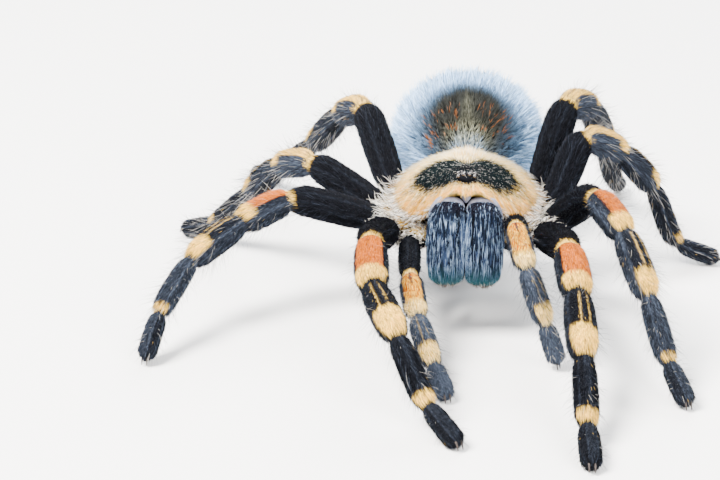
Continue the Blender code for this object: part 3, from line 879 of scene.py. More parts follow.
def colour_property(name, description, value):
    """A linear colour."""
    settings = {"subtype": "COLOR", "size": 3, "min": 0, "max": 1}
    return bpy.props.FloatVectorProperty(name=name, description=description, default=value, **settings)


def length_property(name, description, value):
    """A length in metres."""
    settings = {"subtype": "DISTANCE", "unit": "LENGTH", "min": 0, "precision": 5}
    return bpy.props.FloatProperty(name=name, description=description, default=value, **settings)


def count_property(name, description, value):
    """A number of hairs."""
    return bpy.props.IntProperty(name=name, description=description, min=10, max=60000, default=value)


class TarantulaColours(bpy.types.PropertyGroup):
    """The model's colours, linear"""

    black: colour_property("Black", "The coat's black", (0.0025, 0.0025, 0.0035))
    # slate: blue-grey hair, and a painted sheen, the sky's reflection on the black hair put into the colour
    slate: colour_property("Slate", "The blue-grey sheen in the black", (0.065, 0.082, 0.118))
    # bronze_sheen: a painted sheen, a greenish reflection put into the colour of the carapace patch's black
    # hair
    bronze_sheen: colour_property("Bronze", "The greenish sheen in the carapace's patch", (0.009, 0.021, 0.023))
    orange: colour_property("Orange", "The knees", (0.50, 0.115, 0.0))
    peach: colour_property("Peach", "The palps' knees", (0.70, 0.36, 0.0))
    cream: colour_property("Cream", "The cuffs and lines of the legs", (0.99, 0.62, 0.10))
    tan: colour_property("Tan", "The carapace's margin", (0.98, 0.71, 0.24))
    ivory: colour_property("Ivory", "The fringe and pale flecks", (0.96, 0.91, 0.82))
    rust: colour_property("Rust", "Long hairs on the abdomen", (0.21, 0.078, 0.028))
    umber: colour_property("Umber", "The abdomen's dark patch", (0.020, 0.021, 0.019))
    fuzz: colour_property("Fuzz", "The abdomen's blue-grey fuzz", (0.18, 0.34, 0.57))
    haze: colour_property("Haze", "The pale tips of that fuzz", (0.47, 0.70, 0.98))
    moss: colour_property("Moss", "The greenish cream in front of the abdomen's patch", (0.30, 0.30, 0.20))
    teal: colour_property("Teal", "The lower end of the jaws", (0.014, 0.105, 0.12))
    lavender: colour_property("Lavender", "The jaws' combed hairs", (0.09, 0.15, 0.30))
    mist: colour_property("Mist", "The pale streaks on the jaws", (0.50, 0.70, 1.0))
    plum: colour_property("Plum", "The jaws' upper ends", (0.010, 0.010, 0.018))
    membrane: colour_property("Membrane", "The soft skin above the jaws", (0.10, 0.105, 0.16))
    membrane_pale: colour_property("Pale Membrane", "The paler clouds in that skin", (0.17, 0.18, 0.22))
    amber: colour_property("Amber", "The deeper orange at the carapace's edge", (0.90, 0.40, 0.015))
    horn: colour_property("Horn", "Fangs, claws and eyes", (0.012, 0.007, 0.006))
    horn_red: colour_property("Red Horn", "The reddish clouds in the fangs", (0.05, 0.02, 0.012))
    horn_brown: colour_property("Brown Horn", "The brown clouds in the claws and eyes", (0.03, 0.02, 0.015))


class TarantulaSizes(bpy.types.PropertyGroup):
    """The depths of the coat and the lengths and numbers of its hairs"""

    leg_coat: length_property("Leg Coat", "Depth of the legs' short coat", 0.38 * MM)
    leg_hair: length_property("Leg Hair", "Length of a short leg hair", 0.9 * MM)
    bristle: length_property("Bristle", "Length of the legs' long bristles", 3.2 * MM)
    abdomen_coat: length_property("Abdomen Coat", "Depth of the abdomen's coat", 1.2 * MM)
    carapace_coat: length_property("Carapace Coat", "Depth of the carapace's coat", 0.22 * MM)
    fringe: length_property("Fringe", "Length of the hairs round the carapace", 2.6 * MM)
    leg_hairs: count_property("Leg Hairs", "Short hairs on each pair of legs", 36000)


def tones(*names):
    """The user's colours of these names."""
    group = bpy.context.scene.tarantula_colours
    return [tuple(getattr(group, name)) for name in names]


def sizes():
    """The user's sizes."""
    return bpy.context.scene.tarantula_sizes


def finish_piece(piece, material, replaced=()):
    """Gives a piece its material, body and slot, and the solids that it stands for."""
    piece.data.materials.clear()
    piece.data.materials.append(material)
    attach(piece, "root")
    if replaced:
        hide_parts(*replaced)


# ---------------------------------------------------------------- pieces


def limb_nodes():
    """The solids of all legs and palps."""
    return [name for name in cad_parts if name.startswith(("palp_", "leg_"))]


class TARANTULA_OT_skin(bpy.types.Operator):
    """Make one skin for the limbs, the underbody, the waist, the abdomen and the spinnerets"""

    bl_idname = "tarantula.skin"
    bl_label = "Skin"

    def execute(self, context):
        size = sizes()
        parts = [self.limb(limb, size.leg_coat) for limb in ALL_LIMBS.values()]
        parts += [self.abdomen(size.abdomen_coat), self.waist(), self.spinneret(1), self.spinneret(-1)]
        skin = union("skin", self.underbody(), parts)

        shades = tones("black", "slate", "orange", "cream")
        material = skin_material("skin_under_coat", shades, dim=0.75, streak=0.16 * MM, depth=0.08 * MM)
        flesh = ["underbody", "pedicel", "abdomen", "spinneret_l", "spinneret_r", *limb_nodes()]
        finish_piece(skin, material, flesh)
        return {"FINISHED"}

    def limb(self, limb, coat):
        """A limb's surface, from inside the body to the foot's tip."""
        place, angle = round_grid(0, limb.count, rows=26 * limb.count, columns=28)
        points = limb.surface(place, angle, coat)
        return loft(f"limb_{limb.kind}_{limb.letter}", points, limb.marks(place, angle))

    def abdomen(self, coat):
        """The abdomen's surface, from the waist to the rear."""
        fall, turn = round_grid(0.03, math.pi - 0.03, rows=64, columns=72)
        return loft("abdomen_skin", abdomen_point(fall, turn, coat), abdomen_marks(fall, turn))

    def waist(self):
        """A round stalk, narrowest in its middle: half thickness 1.05 + 0.25 (distance / 2)^2."""
        angle = turns(16)
        reach = np.linspace(-7.0, -12.4, 12)[:, None]
        girth = (1.05 + 0.25 * ((reach + 9.4) / 2) ** 2) * MM
        points = body_point(girth * np.cos(angle), reach * MM, girth * np.sin(angle) - 1.7 * MM)
        return loft("waist_skin", points, {"warm": 0.0, "pale": 0.1, "slate": 0.2})

    def spinneret(self, side):
        """A finger of three segments from the abdomen's rear, back and curving slightly up."""
        root = abdomen_point(math.radians(157), math.radians(-90 + side * 16))
        away = unit(np.array([side * 0.24, 0.93, -0.28]))
        reach = np.linspace(-1.4, 4.85, 26)
        line = root + (reach[:, None] * away + 0.05 * (reach**2)[:, None] * UP) * MM
        knots = (-1.4, 0.2, 1.4, 1.65, 3.1, 3.35, 4.4, 4.85)
        girth = np.interp(reach, knots, (0.7, 0.78, 0.74, 0.6, 0.62, 0.5, 0.36, 0.12)) * MM
        across = unit(np.cross(away, UP))
        points = tube(line, girth, across, np.cross(across, away), sides=14)
        return loft(f"spinneret_skin_{side}", points, {"warm": 0.0, "pale": 0.1, "slate": 0.3})

    def underbody(self):
        """From under the carapace, out to its rim and round the sides to the middle of the sternum."""
        theta = turns(64)
        rings = [carapace_floor(share, theta, 0.75 * MM) for share in (0.1, 0.35, 0.6, 0.78)]
        rings += [belly_point(fall, theta, BELLY_COAT) for fall in (0.0, 0.12, 0.26, 0.42, 0.6, 0.78, 0.93)]
        return loft("underbody_skin", np.array(rings), {"warm": 0.0, "pale": 0.0, "slate": 0.1})


class TARANTULA_OT_carapace(bpy.types.Operator):
    """Make the hard plate over the front half of the body and the low mound of the eyes"""

    bl_idname = "tarantula.carapace"
    bl_label = "Carapace"

    def execute(self, context):
        shades = tones("black", "slate", "tan", "ivory")
        material = skin_material("carapace_plate", shades, dim=0.9, streak=0.12 * MM, depth=0.05 * MM)
        finish_piece(self.plate(sizes().carapace_coat), material, ["carapace"])

        fall, turn = round_grid(0.04, math.pi - 0.04, rows=20, columns=40)
        points = mound_centre() + ball_point(fall, turn) * (MOUND_RADII - MOUND_COAT)
        mound = loft("eye_mound_skin", points, {"warm": 0.0, "pale": 0.0, "slate": 0.05})
        finish_piece(mound, material)
        return {"FINISHED"}

    def plate(self, coat):
        """The dome from its middle to the rim, a thin edge, and the underside back to the middle."""
        theta = turns(120)
        shares = np.sin(0.5 * math.pi * np.linspace(0.02, 1, 44))
        rings = [carapace_top(share, theta, coat) for share in shares]
        rings.append(carapace_top(1.0, theta, coat) - 0.16 * MM * UP)
        trim = 1 - coat / (20 * MM)
        rings += [carapace_floor(share, theta, 0.1 * MM, trim) for share in (0.985, 0.9, 0.6, 0.25)]
        points = np.array(rings)
        x, forward, _ = body_place(points)
        black = carapace_marks(x, forward)
        return loft("carapace_plate", points, {"warm": 1 - black, "pale": 0.0, "slate": 0.06})


class TARANTULA_OT_membrane(bpy.types.Operator):
    """Make the soft skin that shows as two pale crescents between the carapace and the jaws"""

    bl_idname = "tarantula.membrane"
    bl_label = "Face Membrane"

    def execute(self, context):
        pads = [closed_form(points) for points in (self.collar(1), self.collar(-1), self.wedge())]
        shades = tones("membrane", "membrane_pale")
        material = plain_finish("membrane", shades, 0.5 * MM, roughness=0.6, depth=0.05 * MM)
        finish_piece(joined("face_membrane", pads), material)
        return {"FINISHED"}

    def wedge(self):
        """A drop that narrows downwards between the two cuffs, sin(pi s^0.6)^0.7 thick."""
        s = np.linspace(0.02, 0.98, 24)
        girth = 0.7 * np.sin(math.pi * s**0.6) ** 0.7 * MM
        line = body_point(0 * s, (8.7 + 0.6 * s) * MM, (2.9 - 1.3 * s) * MM)
        return tube(line, girth, RIGHT, np.array([0, 0.8, 0]), sides=16)

    def collar(self, side):
        """A cuff round the jaw's root that bulges out under the rim's arch, most above."""
        t, angle = round_grid(0.02, 0.21, rows=16, columns=48)
        above = soft(np.sin(angle), 0.0, 0.8) * (1 - 0.8 * soft(np.cos(angle), 0.3, 0.75))
        bulge = 0.32 * np.sin(math.pi * (t - 0.02) / 0.19) ** 0.5 * above
        return jaw_surface(side, t, angle, -bulge * MM)


class TARANTULA_OT_eyes(bpy.types.Operator):
    """Make the eight eyes, each a glossy bead set in the mound"""

    bl_idname = "tarantula.eyes"
    bl_label = "Eyes"

    def execute(self, context):
        fall, turn = round_grid(0.06, math.pi - 0.06, rows=14, columns=20)
        ball = ball_point(fall, turn)
        beads = []
        for side in (1, -1):
            for x, forward, radius in EYES:
                flat = (x * MM / MOUND_RADII[0]) ** 2 + (forward * MM / MOUND_RADII[1]) ** 2
                height = 0.92 * MOUND_RADII[2] * math.sqrt(max(0.12, 1 - flat))
                centre = mound_centre() + np.array([side * x * MM, -forward * MM, height])
                beads.append(closed_form(centre + ball * radius * MM))
        shades = tones("horn", "horn_brown")
        material = plain_finish("eye_gloss", shades, 0.3 * MM, roughness=0.08, coat=1.0, depth=0.0)
        finish_piece(joined("eyes", beads), material, ["eye_mound"])
        return {"FINISHED"}


class TARANTULA_OT_jaws(bpy.types.Operator):
    """Make the two chelicerae, their fangs and the claws of the feet"""

    bl_idname = "tarantula.jaws"
    bl_label = "Jaws, Fangs and Claws"

    def execute(self, context):
        t, angle = round_grid(0, 1, rows=56, columns=48)
        marks = jaw_marks(t, angle)
        marks["pale"] = 0.6 * marks.pop("teal")
        jaws = [closed_form(jaw_surface(side, t, angle, JAW_COAT), marks) for side in (1, -1)]
        shades = tones("black", "lavender", "plum", "teal")
        material = skin_material("jaw_shell", shades, dim=0.8, streak=0.14 * MM, depth=0.06 * MM)
        finish_piece(joined("jaws", jaws), material, ["chelicera_l", "chelicera_r"])

        horn = plain_finish("horn", tones("horn", "horn_red"), 0.8 * MM, roughness=0.2, coat=0.6)
        fangs = [closed_form(self.fang(side)) for side in (1, -1)]
        finish_piece(joined("fangs", fangs), horn, ["fang_l", "fang_r"])
        matt = plain_finish("claw_horn", tones("horn", "horn_brown"), 0.4 * MM, roughness=0.7)
        claws = [closed_form(self.claw(limb, side)) for limb in ALL_LIMBS.values() for side in (1, -1)]
        finish_piece(joined("claws", claws), matt)
        return {"FINISHED"}

    def fang(self, side):
        """A tapering tube that comes down out of the jaw's end and folds back under it in an arc."""
        t = np.linspace(0, 1, 30)
        girth = np.interp(t, (0, 0.2, 0.4, 0.6, 0.8, 1), (0.85, 0.82, 0.7, 0.55, 0.38, 0.08)) * MM
        forward = 12.6 - 3.4 * t**1.3
        up = -7.7 - 1.0 * np.sin(0.5 * math.pi * np.minimum(t / 0.45, 1)) + 0.4 * t**2
        line = body_point(side * (2.7 - 0.4 * t) * MM, forward * MM, up * MM)
        return self.hook(line, girth, sides=18)

    def claw(self, limb, side):
        """A hook that leaves the foot's end forward and curls down with t^2."""
        point, way = limb.line(np.array(limb.count - 0.03))
        across = unit(np.cross(way, UP))
        t = np.linspace(0, 1, 12)[:, None]
        line = point + side * 0.34 * MM * across + (0.55 * t) * MM * way
        line = line + (0.42 - 0.9 * t**2) * MM * UP * 0.8
        line[:, 2] = np.maximum(line[:, 2], CLAW_CLEARANCE)
        return self.hook(line, (0.17 - 0.11 * t[:, 0]) * MM, sides=8)

    def hook(self, line, girth, sides):
        """A tube whose rings stand square to its line."""
        way = unit(np.gradient(line, axis=0))
        upper = unit(UP - (way @ UP)[:, None] * way)
        return tube(line, girth, np.cross(way, upper), upper, sides)


# ---------------------------------------------------------------- coat pieces


def limb_hairs(limb, count, seed, row):
    """Short hairs all over a limb, lying towards its tip, longest in a ruff at each segment's end."""
    size = sizes()
    start = 0.35
    form = limb.form(size.leg_coat, start)
    u, v, root, along, normal, chance = planted(form, count, seed)
    place, angle = start + u * (limb.count - start), (v - 0.5) * math.tau
    stray = chance.random((2, count)) - 0.5
    marks = limb.marks(place + 0.06 * stray[0], angle + 0.08 * stray[1])
    t = place - np.floor(place)
    length = size.leg_hair * (0.75 + 0.5 * chance.random(count)) * (0.6 + 0.4 * soft(t, 0.0, 0.25))
    length = length * np.where(place > limb.count - 1, 0.72, 1.0)
    ruff = soft(t, 0.78, 0.95) * (place > 2) * (place < limb.count - 0.3)
    length = length * (1 + 0.3 * ruff)
    lift = np.radians(9 + 15 * chance.random(count) + 9 * ruff)
    lie = strewn(along, normal, 0.22, chance)
    fleck = (chance.random(count) < 0.004) * 0.4 * (place > 2)
    marks["pale"] = np.maximum(marks["pale"], fleck * (marks["warm"] < 0.3))
    # Painted sheen, stronger on some hairs than on others
    marks["slate"] = np.clip(marks["slate"] * (0.2 + 1.5 * chance.random(count) ** 2), 0, 1)
    dark = np.where(chance.random(count) < 0.07, 0.35, 1.0)
    marks["pale"], marks["warm"] = marks["pale"] * dark, marks["warm"] * dark
    tuft = tufts(root, normal, lie, length, 0.12 * MM, lift, bend=0.3)
    return tuft, on_map(u, row + 0.49 * v), marks


class TARANTULA_OT_leg_coat(bpy.types.Operator):
    """Cover the legs and palps with short hair"""

    bl_idname = "tarantula.leg_coat"
    bl_label = "Leg Coat"

    def execute(self, context):
        legs = coat_material("leg_coat", tones("black", "slate", "orange", "cream", "ivory"), tip=0.10)
        palps = coat_material("palp_coat", tones("black", "slate", "peach", "tan", "ivory"), tip=0.16)
        for number, kind in enumerate(LIMBS):
            palp = kind == "palp"
            hairs = sizes().leg_hairs // (4 if palp else 2)
            seed = 40 + 10 * number
            parts = [limb_hairs(ALL_LIMBS[kind, "l"], hairs, seed, 0.0)]
            parts.append(limb_hairs(ALL_LIMBS[kind, "r"], hairs, seed + 1, 0.5))
            piece = coat_piece(f"{kind}_coat", parts, seed=7 + number)
            finish_piece(piece, palps if palp else legs)
        return {"FINISHED"}


class TARANTULA_OT_bristles(bpy.types.Operator):
    """Set long pale-tipped bristles on the legs"""

    bl_idname = "tarantula.bristles"
    bl_label = "Bristles"

    def execute(self, context):
        shades = tones("black", "slate", "cream", "ivory", "ivory")
        material = coat_material("bristles", shades, tip=0.3)
        parts = []
        for number, limb in enumerate(ALL_LIMBS.values()):
            count = {"palp": 450, "leg_1": 800}.get(limb.kind, 1050)
            parts.append(self.limb_bristles(limb, count, 200 + number, number / 10))
        finish_piece(coat_piece("leg_bristles", parts, seed=31), material)
        return {"FINISHED"}

    def limb_bristles(self, limb, count, seed, row):
        """Long thin bristles from the femur outwards, which stand off and curve towards the tip."""
        size = sizes()
        start = 1.15
        spots = (1, 1.8, 2.2, 3, 3.3, limb.count - 0.4, limb.count)

        def keep(u, v):
            place = start + u * (limb.count - start)
            t = place - np.floor(place)
            return np.interp(place, spots, (0.15, 0.4, 0.8, 1, 1.3, 1.2, 0.2)) * (0.35 + t)

        form = limb.form(size.leg_coat, start)
        u, v, root, along, normal, chance = planted(form, count, seed, keep)
        place = start + u * (limb.count - start)
        reach = 1.25 if limb.letter == "r" and limb.kind in ("leg_2", "leg_3") else 1.0
        length = size.bristle * reach * (0.45 + 0.75 * chance.random(count) ** 1.5)
        length = length * np.interp(place, (1, 2, 4, limb.count - 1, limb.count), (0.5, 0.9, 1.0, 0.8, 0.5))
        lift = np.radians(36 + 36 * chance.random(count))
        lie = strewn(along, normal, 0.5, chance)
        often = {"leg_1": 0.12, "leg_3": 0.4, "leg_4": 0.4}.get(limb.kind, 0.25)
        light = (chance.random(count) < often) & (place > 2)
        # slate here is painted sheen on the bristles, at random
        marks = {"warm": 0.0, "pale": 0.4 * light, "slate": 0.6 * chance.random(count)}
        sway = 0.2 * (chance.random(count) - 0.5)
        tuft = tufts(root, normal, lie, length, 0.042 * MM, lift, 0.28, sway, rings=2)
        return tuft, on_map(u, row + 0.098 * v), marks


class TARANTULA_OT_abdomen_coat(bpy.types.Operator):
    """Cover the abdomen with velvet and with long rust and blue-grey hairs"""

    bl_idname = "tarantula.abdomen_coat"
    bl_label = "Abdomen Coat"

    def execute(self, context):
        velvet = self.hairs(40000, seed=301, length=1.35 * MM, width=0.13 * MM, rings=1)
        fuzz = self.hairs(11500, seed=303, length=2.8 * MM, width=0.085 * MM, rings=2)
        shades = tones("umber", "fuzz", "rust", "haze", "moss")
        short = coat_material("abdomen_velvet", shades, end_mark="moss")
        long = coat_material("abdomen_fuzz", shades, end_mark="moss")
        finish_piece(coat_piece("abdomen_velvet", [velvet], seed=51), short)
        finish_piece(coat_piece("abdomen_fuzz", [fuzz], seed=52), long)
        return {"FINISHED"}

    def hairs(self, count, seed, length, width, rings):
        """Hairs that lie backwards in wavy locks: short ones with 1 ring, or long ones with 2. Rusty ones
        stand in clumps on the dark patch and are strewn over the rear."""
        coat = sizes().abdomen_coat
        short = rings == 1

        def fall_at(u):
            return 0.06 + u * (math.pi - 0.1)

        def form(u, v):
            return abdomen_point(fall_at(u), v * math.tau, coat)

        u, v, root, along, normal, chance = planted(form, count, seed)
        marks = abdomen_marks(fall_at(u), v * math.tau)
        x, forward, up = body_place(root)
        clump_x, clump_forward = rust_clumps()
        near = np.hypot(x[:, None] - clump_x, forward[:, None] - clump_forward).min(axis=1)
        behind = soft(u, 0.56, 0.8)
        rusty = (near < 0.14) & (up > 0) & (marks["slate"] < 0.5)
        rusty = rusty | (chance.random(count) < (0.05 if short else 0.2) * behind)
        locks = 0.3 * np.sin(17 * math.tau * v + 9 * u) + 0.2 * np.sin(41 * math.tau * v - 23 * u)
        stray = 0.45 * (chance.random(count) - 0.5) + locks
        lie = along + np.cross(along, normal) * stray[:, None]
        lift = np.radians(34 + 30 * chance.random(count))
        in_front = 1 - soft(u, 0.16, 0.34)
        lengths = length * (0.55 + 0.65 * chance.random(count)) * (1 - 0.45 * in_front)
        fuzz = marks["slate"]
        marks["warm"] = 1.0 * rusty
        marks["moss"] = marks["moss"] * (0.4 + 0.8 * chance.random(count)) * ~rusty
        if short:
            marks["slate"] = np.clip(fuzz * (0.35 + 0.9 * chance.random(count)), 0, 1) * ~rusty
            marks["pale"] = 0.5 * fuzz * chance.random(count) * ~rusty
            width = width * np.where(rusty, 0.9, 1.0)
        else:
            marks["slate"] = fuzz * ~rusty
            marks["pale"] = np.clip((fuzz - 0.3) * 1.5, 0, 1) * (chance.random(count) < 0.85) * ~rusty
            lengths = lengths * np.where(fuzz < 0.5, 0.7, 1.0)
        bend = 0.2 if short else 0.26
        tuft = tufts(root, normal, lie, lengths, width, lift, bend, sway=0.1, rings=rings)
        return tuft, on_map(u, v), marks


class TARANTULA_OT_belly_coat(bpy.types.Operator):
    """Cover the front body's sides and underside with short dark hair that lies backwards"""

    bl_idname = "tarantula.belly_coat"
    bl_label = "Belly Coat"

    def execute(self, context):

        def form(u, v):
            return belly_point(0.02 + 0.96 * u, v * math.tau, BELLY_COAT)

        count = 7000
        u, v, root, _, normal, chance = planted(form, count, seed=601)
        lie = np.array([0.0, 1.0, -0.35]) + 0.5 * (chance.random((count, 3)) - 0.5)
        length = (0.6 + 0.5 * chance.random(count)) * MM
        lift = np.radians(12 + 20 * chance.random(count))
        rusty = chance.random(count) < 0.2
        # slate here is painted sheen on the dark hair, at random
        marks = {"warm": 0.25 * rusty, "pale": 0.0, "slate": 0.5 * chance.random(count)}
        tuft = tufts(root, normal, lie, length, 0.12 * MM, lift, bend=0.3)
        material = coat_material("belly_coat", tones("black", "slate", "rust", "cream", "ivory"), tip=0.0)
        piece = coat_piece("belly_coat", [(tuft, on_map(u, v), marks)], seed=56)
        finish_piece(piece, material)
        return {"FINISHED"}


class TARANTULA_OT_carapace_coat(bpy.types.Operator):
    """Cover the carapace with very short hair that lies outwards from its middle"""

    bl_idname = "tarantula.carapace_coat"
    bl_label = "Carapace Coat"

    def execute(self, context):
        shades = tones("black", "bronze_sheen", "tan", "ivory", "amber")
        material = coat_material("carapace_coat", shades, end_mark="amber")
        parts = [self.plate_hairs(sizes().carapace_coat), self.mound_hairs()]
        finish_piece(coat_piece("carapace_coat", parts, seed=53), material)
        return {"FINISHED"}

    def plate_hairs(self, coat):
        """Hairs that lie outwards, longest at the rim, with pale flecks in the black patch, rays of amber
        towards the rim, and a crest that stands up in the middle of the rear."""

        def form(u, v):
            return carapace_top(0.03 + 0.955 * u, v * math.tau, coat)

        count = 26000
        u, v, root, along, normal, chance = planted(form, count, seed=401)
        normal = normal * np.sign(normal[:, 2:3])
        x, forward, _ = body_place(root)
        stray = chance.random((2, count)) - 0.5
        black = carapace_marks(x + 2.0 * stray[0], forward + 1.8 * stray[1])
        near_eyes = np.exp(-((x / 1.6) ** 2) - ((forward - 6.2) / 1.2) ** 2)
        fleck = (chance.random(count) < 0.11 + 0.3 * near_eyes) & (black > 0.5)
        edge = (u > 0.975) & (forward > 5.5) & (chance.random(count) < 0.75)
        rays = np.sin(47 * math.tau * v) + np.sin(83 * math.tau * v + 2) + np.sin(29 * math.tau * v + 4)
        deep = soft(u, 0.55, 1.0) * soft(forward, -9.0, 4.0) * (1 + soft(forward, 3.0, 7.0))
        warm = np.where(edge, 0.18, (1 - black) * (0.5 + 0.5 * chance.random(count) ** 0.5))
        often = 0.22 + 0.3 * soft(-forward, 2.0, 8.0)
        pale = np.where(black > 0.5, fleck, 0.8 * (chance.random(count) < often)) * ~edge
        # Painted sheen: some hairs take the greenish bronze_sheen, at random
        slate = chance.random(count) ** 2
        amber = np.clip(deep * (0.3 + 0.22 * rays + 0.4 * chance.random(count)), 0, 1)
        amber = (1 - black) * amber * ~edge
        lie = strewn(along, normal, 0.5, chance)
        length = (0.55 + 0.55 * chance.random(count)) * MM
        length = length * (1 + 1.2 * soft(u, 0.8, 1.0)) * np.where(edge | fleck, 0.6, 1.0)
        crest = np.exp(-((x / 2.4) ** 2)) * within(forward, -8.5, -4.0, 0.8) * (chance.random(count) < 0.6)
        amber = amber + 0.45 * crest * chance.random(count)
        length = length * (1 + 0.9 * crest)
        lift = np.radians(10 + (18 + 60 * crest) * chance.random(count))
        width = np.where(fleck, 0.052, 0.08) * MM
        marks = {"warm": warm, "pale": pale, "slate": slate, "amber": amber}
        return tufts(root, normal, lie, length, width, lift, bend=0.3), on_map(0.94 * u, v), marks

    def mound_hairs(self):
        """Very short black and pale hairs between the eyes, lying backwards."""
        count = 420
        chance = np.random.default_rng(441)
        fall, turn = 0.25 + 1.25 * chance.random(count), chance.random(count) * math.tau
        normal = ball_point(fall, turn)
        root = mound_centre() + normal * (MOUND_RADII - MOUND_COAT)
        lie = np.array([0.0, 1.0, -0.1]) + 0.8 * (chance.random((count, 3)) - 0.5)
        length = (0.15 + 0.2 * chance.random(count)) * MM
        pale = 0.9 * (chance.random(count) < 0.1)
        marks = {"warm": 0.0, "pale": pale, "slate": chance.random(count), "amber": 0.0}
        tuft = tufts(root, unit(normal), lie, length, 0.045 * MM, lift=0.5, bend=0.3)
        return tuft, on_map(0.96 + 0.03 * fall / 2, turn / math.tau), marks


class TARANTULA_OT_fringe(bpy.types.Operator):
    """Hang the shaggy fringe round the carapace, over the roots of the limbs and below the jaws"""

    bl_idname = "tarantula.fringe"
    bl_label = "Fringe"

    def execute(self, context):
        parts = [self.rim_hairs(), self.skirt_hairs(1), self.skirt_hairs(-1)]
        for number, limb in enumerate(ALL_LIMBS.values()):
            parts.append(self.root_hairs(limb, 380 if limb.kind == "palp" else 620, number))
        material = coat_material("fringe", tones("black", "slate", "amber", "ivory", "ivory"), tip=0.08)
        finish_piece(coat_piece("fringe", parts, seed=54), material)
        return {"FINISHED"}

    def rim_hairs(self):
        """Hairs from the carapace's edge, outwards and down, in uneven locks, and up in its rear middle."""
        size = sizes()
        count = 3200
        chance = np.random.default_rng(421)
        theta = np.radians(24 + 312 * chance.random(count))
        locks = np.sin(23 * theta) * 0.22
        share = 0.965 + 0.035 * chance.random(count)
        root = carapace_top(share, theta, size.carapace_coat) - 0.22 * MM * UP
        x, forward, _ = body_place(root)
        out = unit(np.stack([x / 8.5, -forward / 9.5, np.zeros(count)], axis=1))
        normal = unit(0.35 * out + UP)
        side = np.cross(out, normal)
        turn = np.degrees(np.abs(np.angle(np.exp(1j * theta))))
        rear = turn > 168
        length = size.fringe * (0.4 + 0.6 * chance.random(count)) * (0.65 + 0.35 * within(turn, 35, 150, 20))
        lie = out + side * (0.6 * (chance.random(count)[:, None] - 0.5) + locks[:, None])
        lift = np.radians(np.where(rear, 30, -26) + 40 * chance.random(count))
        warm = (chance.random(count) < np.where(rear, 0.9, 0.16)) * 0.7
        pale = (chance.random(count) < np.where(rear, 0.35, 0.48)) * (0.6 + 0.4 * chance.random(count))
        marks = {"warm": warm, "pale": pale, "slate": 0.1 * chance.random(count)}
        sway = 1.3 * (chance.random(count) - 0.5)
        tuft = tufts(root, normal, lie, length, 0.08 * MM, lift, 0.9, sway, rings=3)
        return tuft, on_map(theta / math.tau, 0.08 * chance.random(count)), marks

    def skirt_hairs(self, side):
        """Short rusty and cream hairs that hang from the lower end of a jaw."""

        def form(u, v):
            return jaw_surface(side, 0.94 + 0.045 * u, v * math.tau, JAW_COAT)

        count = 800
        u, v, root, _, normal, chance = planted(form, count, 565 + side, draws=560 + side)
        lie = np.array([0.0, -0.12, -1.0]) + 0.5 * (chance.random((count, 3)) - 0.5)
        length = (0.35 + 0.7 * chance.random(count) ** 1.5) * MM
        warm = chance.random(count) < 0.5
        marks = {"warm": 0.16 * warm, "pale": 0.7 * (chance.random(count) < 0.14), "slate": 0.2}
        normal = unit(normal + 0.4 * UP)
        sway = 0.3 * (chance.random(count) - 0.5)
        tuft = tufts(root, normal, lie, length, 0.04 * MM, lift=0.1, bend=0.3, sway=sway, rings=2)
        return tuft, on_map(0.5 * u + 0.25 * (side + 1), 0.085 + 0.01 * v), marks

    def root_hairs(self, limb, count, number):
        """Long curved hairs over a coxa and the start of its femur, lying outwards, in locks in front."""
        size = sizes()
        most = 1.3
        front = limb.kind in ("palp", "leg_1")
        end = 1.12 if front else 1.02
        whole = limb.form(size.leg_coat)

        def form(u, v):
            return whole(u * (most / limb.count), v)

        def keep(u, v):
            turn = np.abs(v - 0.5) * 360
            return within(u * most, 0.25, end, 0.1) * (1 - 0.85 * soft(turn, 85, 130))

        u, v, root, along, normal, chance = planted(form, count, 430 + number, keep)
        outward = np.sum(normal * (root - limb.line(u * most)[0]), axis=1, keepdims=True)
        normal = normal * np.sign(outward)
        lie = strewn(along, normal, 0.9, chance)
        length = size.fringe * (0.5 + 0.6 * chance.random(count))
        lift = np.radians(24 + 30 * chance.random(count))
        locks = 0.22 * np.sin(11 * math.tau * v + 9 * u) if front else 0.0
        warm = (chance.random(count) < 0.1) * (0.35 if front else 0.0)
        pale = (chance.random(count) < 0.42 + locks) * (0.7 + 0.3 * chance.random(count))
        marks = {"warm": warm, "pale": pale, "slate": 0.1 * chance.random(count)}
        sway = 1.2 * (chance.random(count) - 0.5)
        tuft = tufts(root, normal, lie, length, 0.085 * MM, lift, 0.6, sway, rings=3)
        return tuft, on_map(u, 0.1 + 0.09 * (number + 0.95 * v)), marks


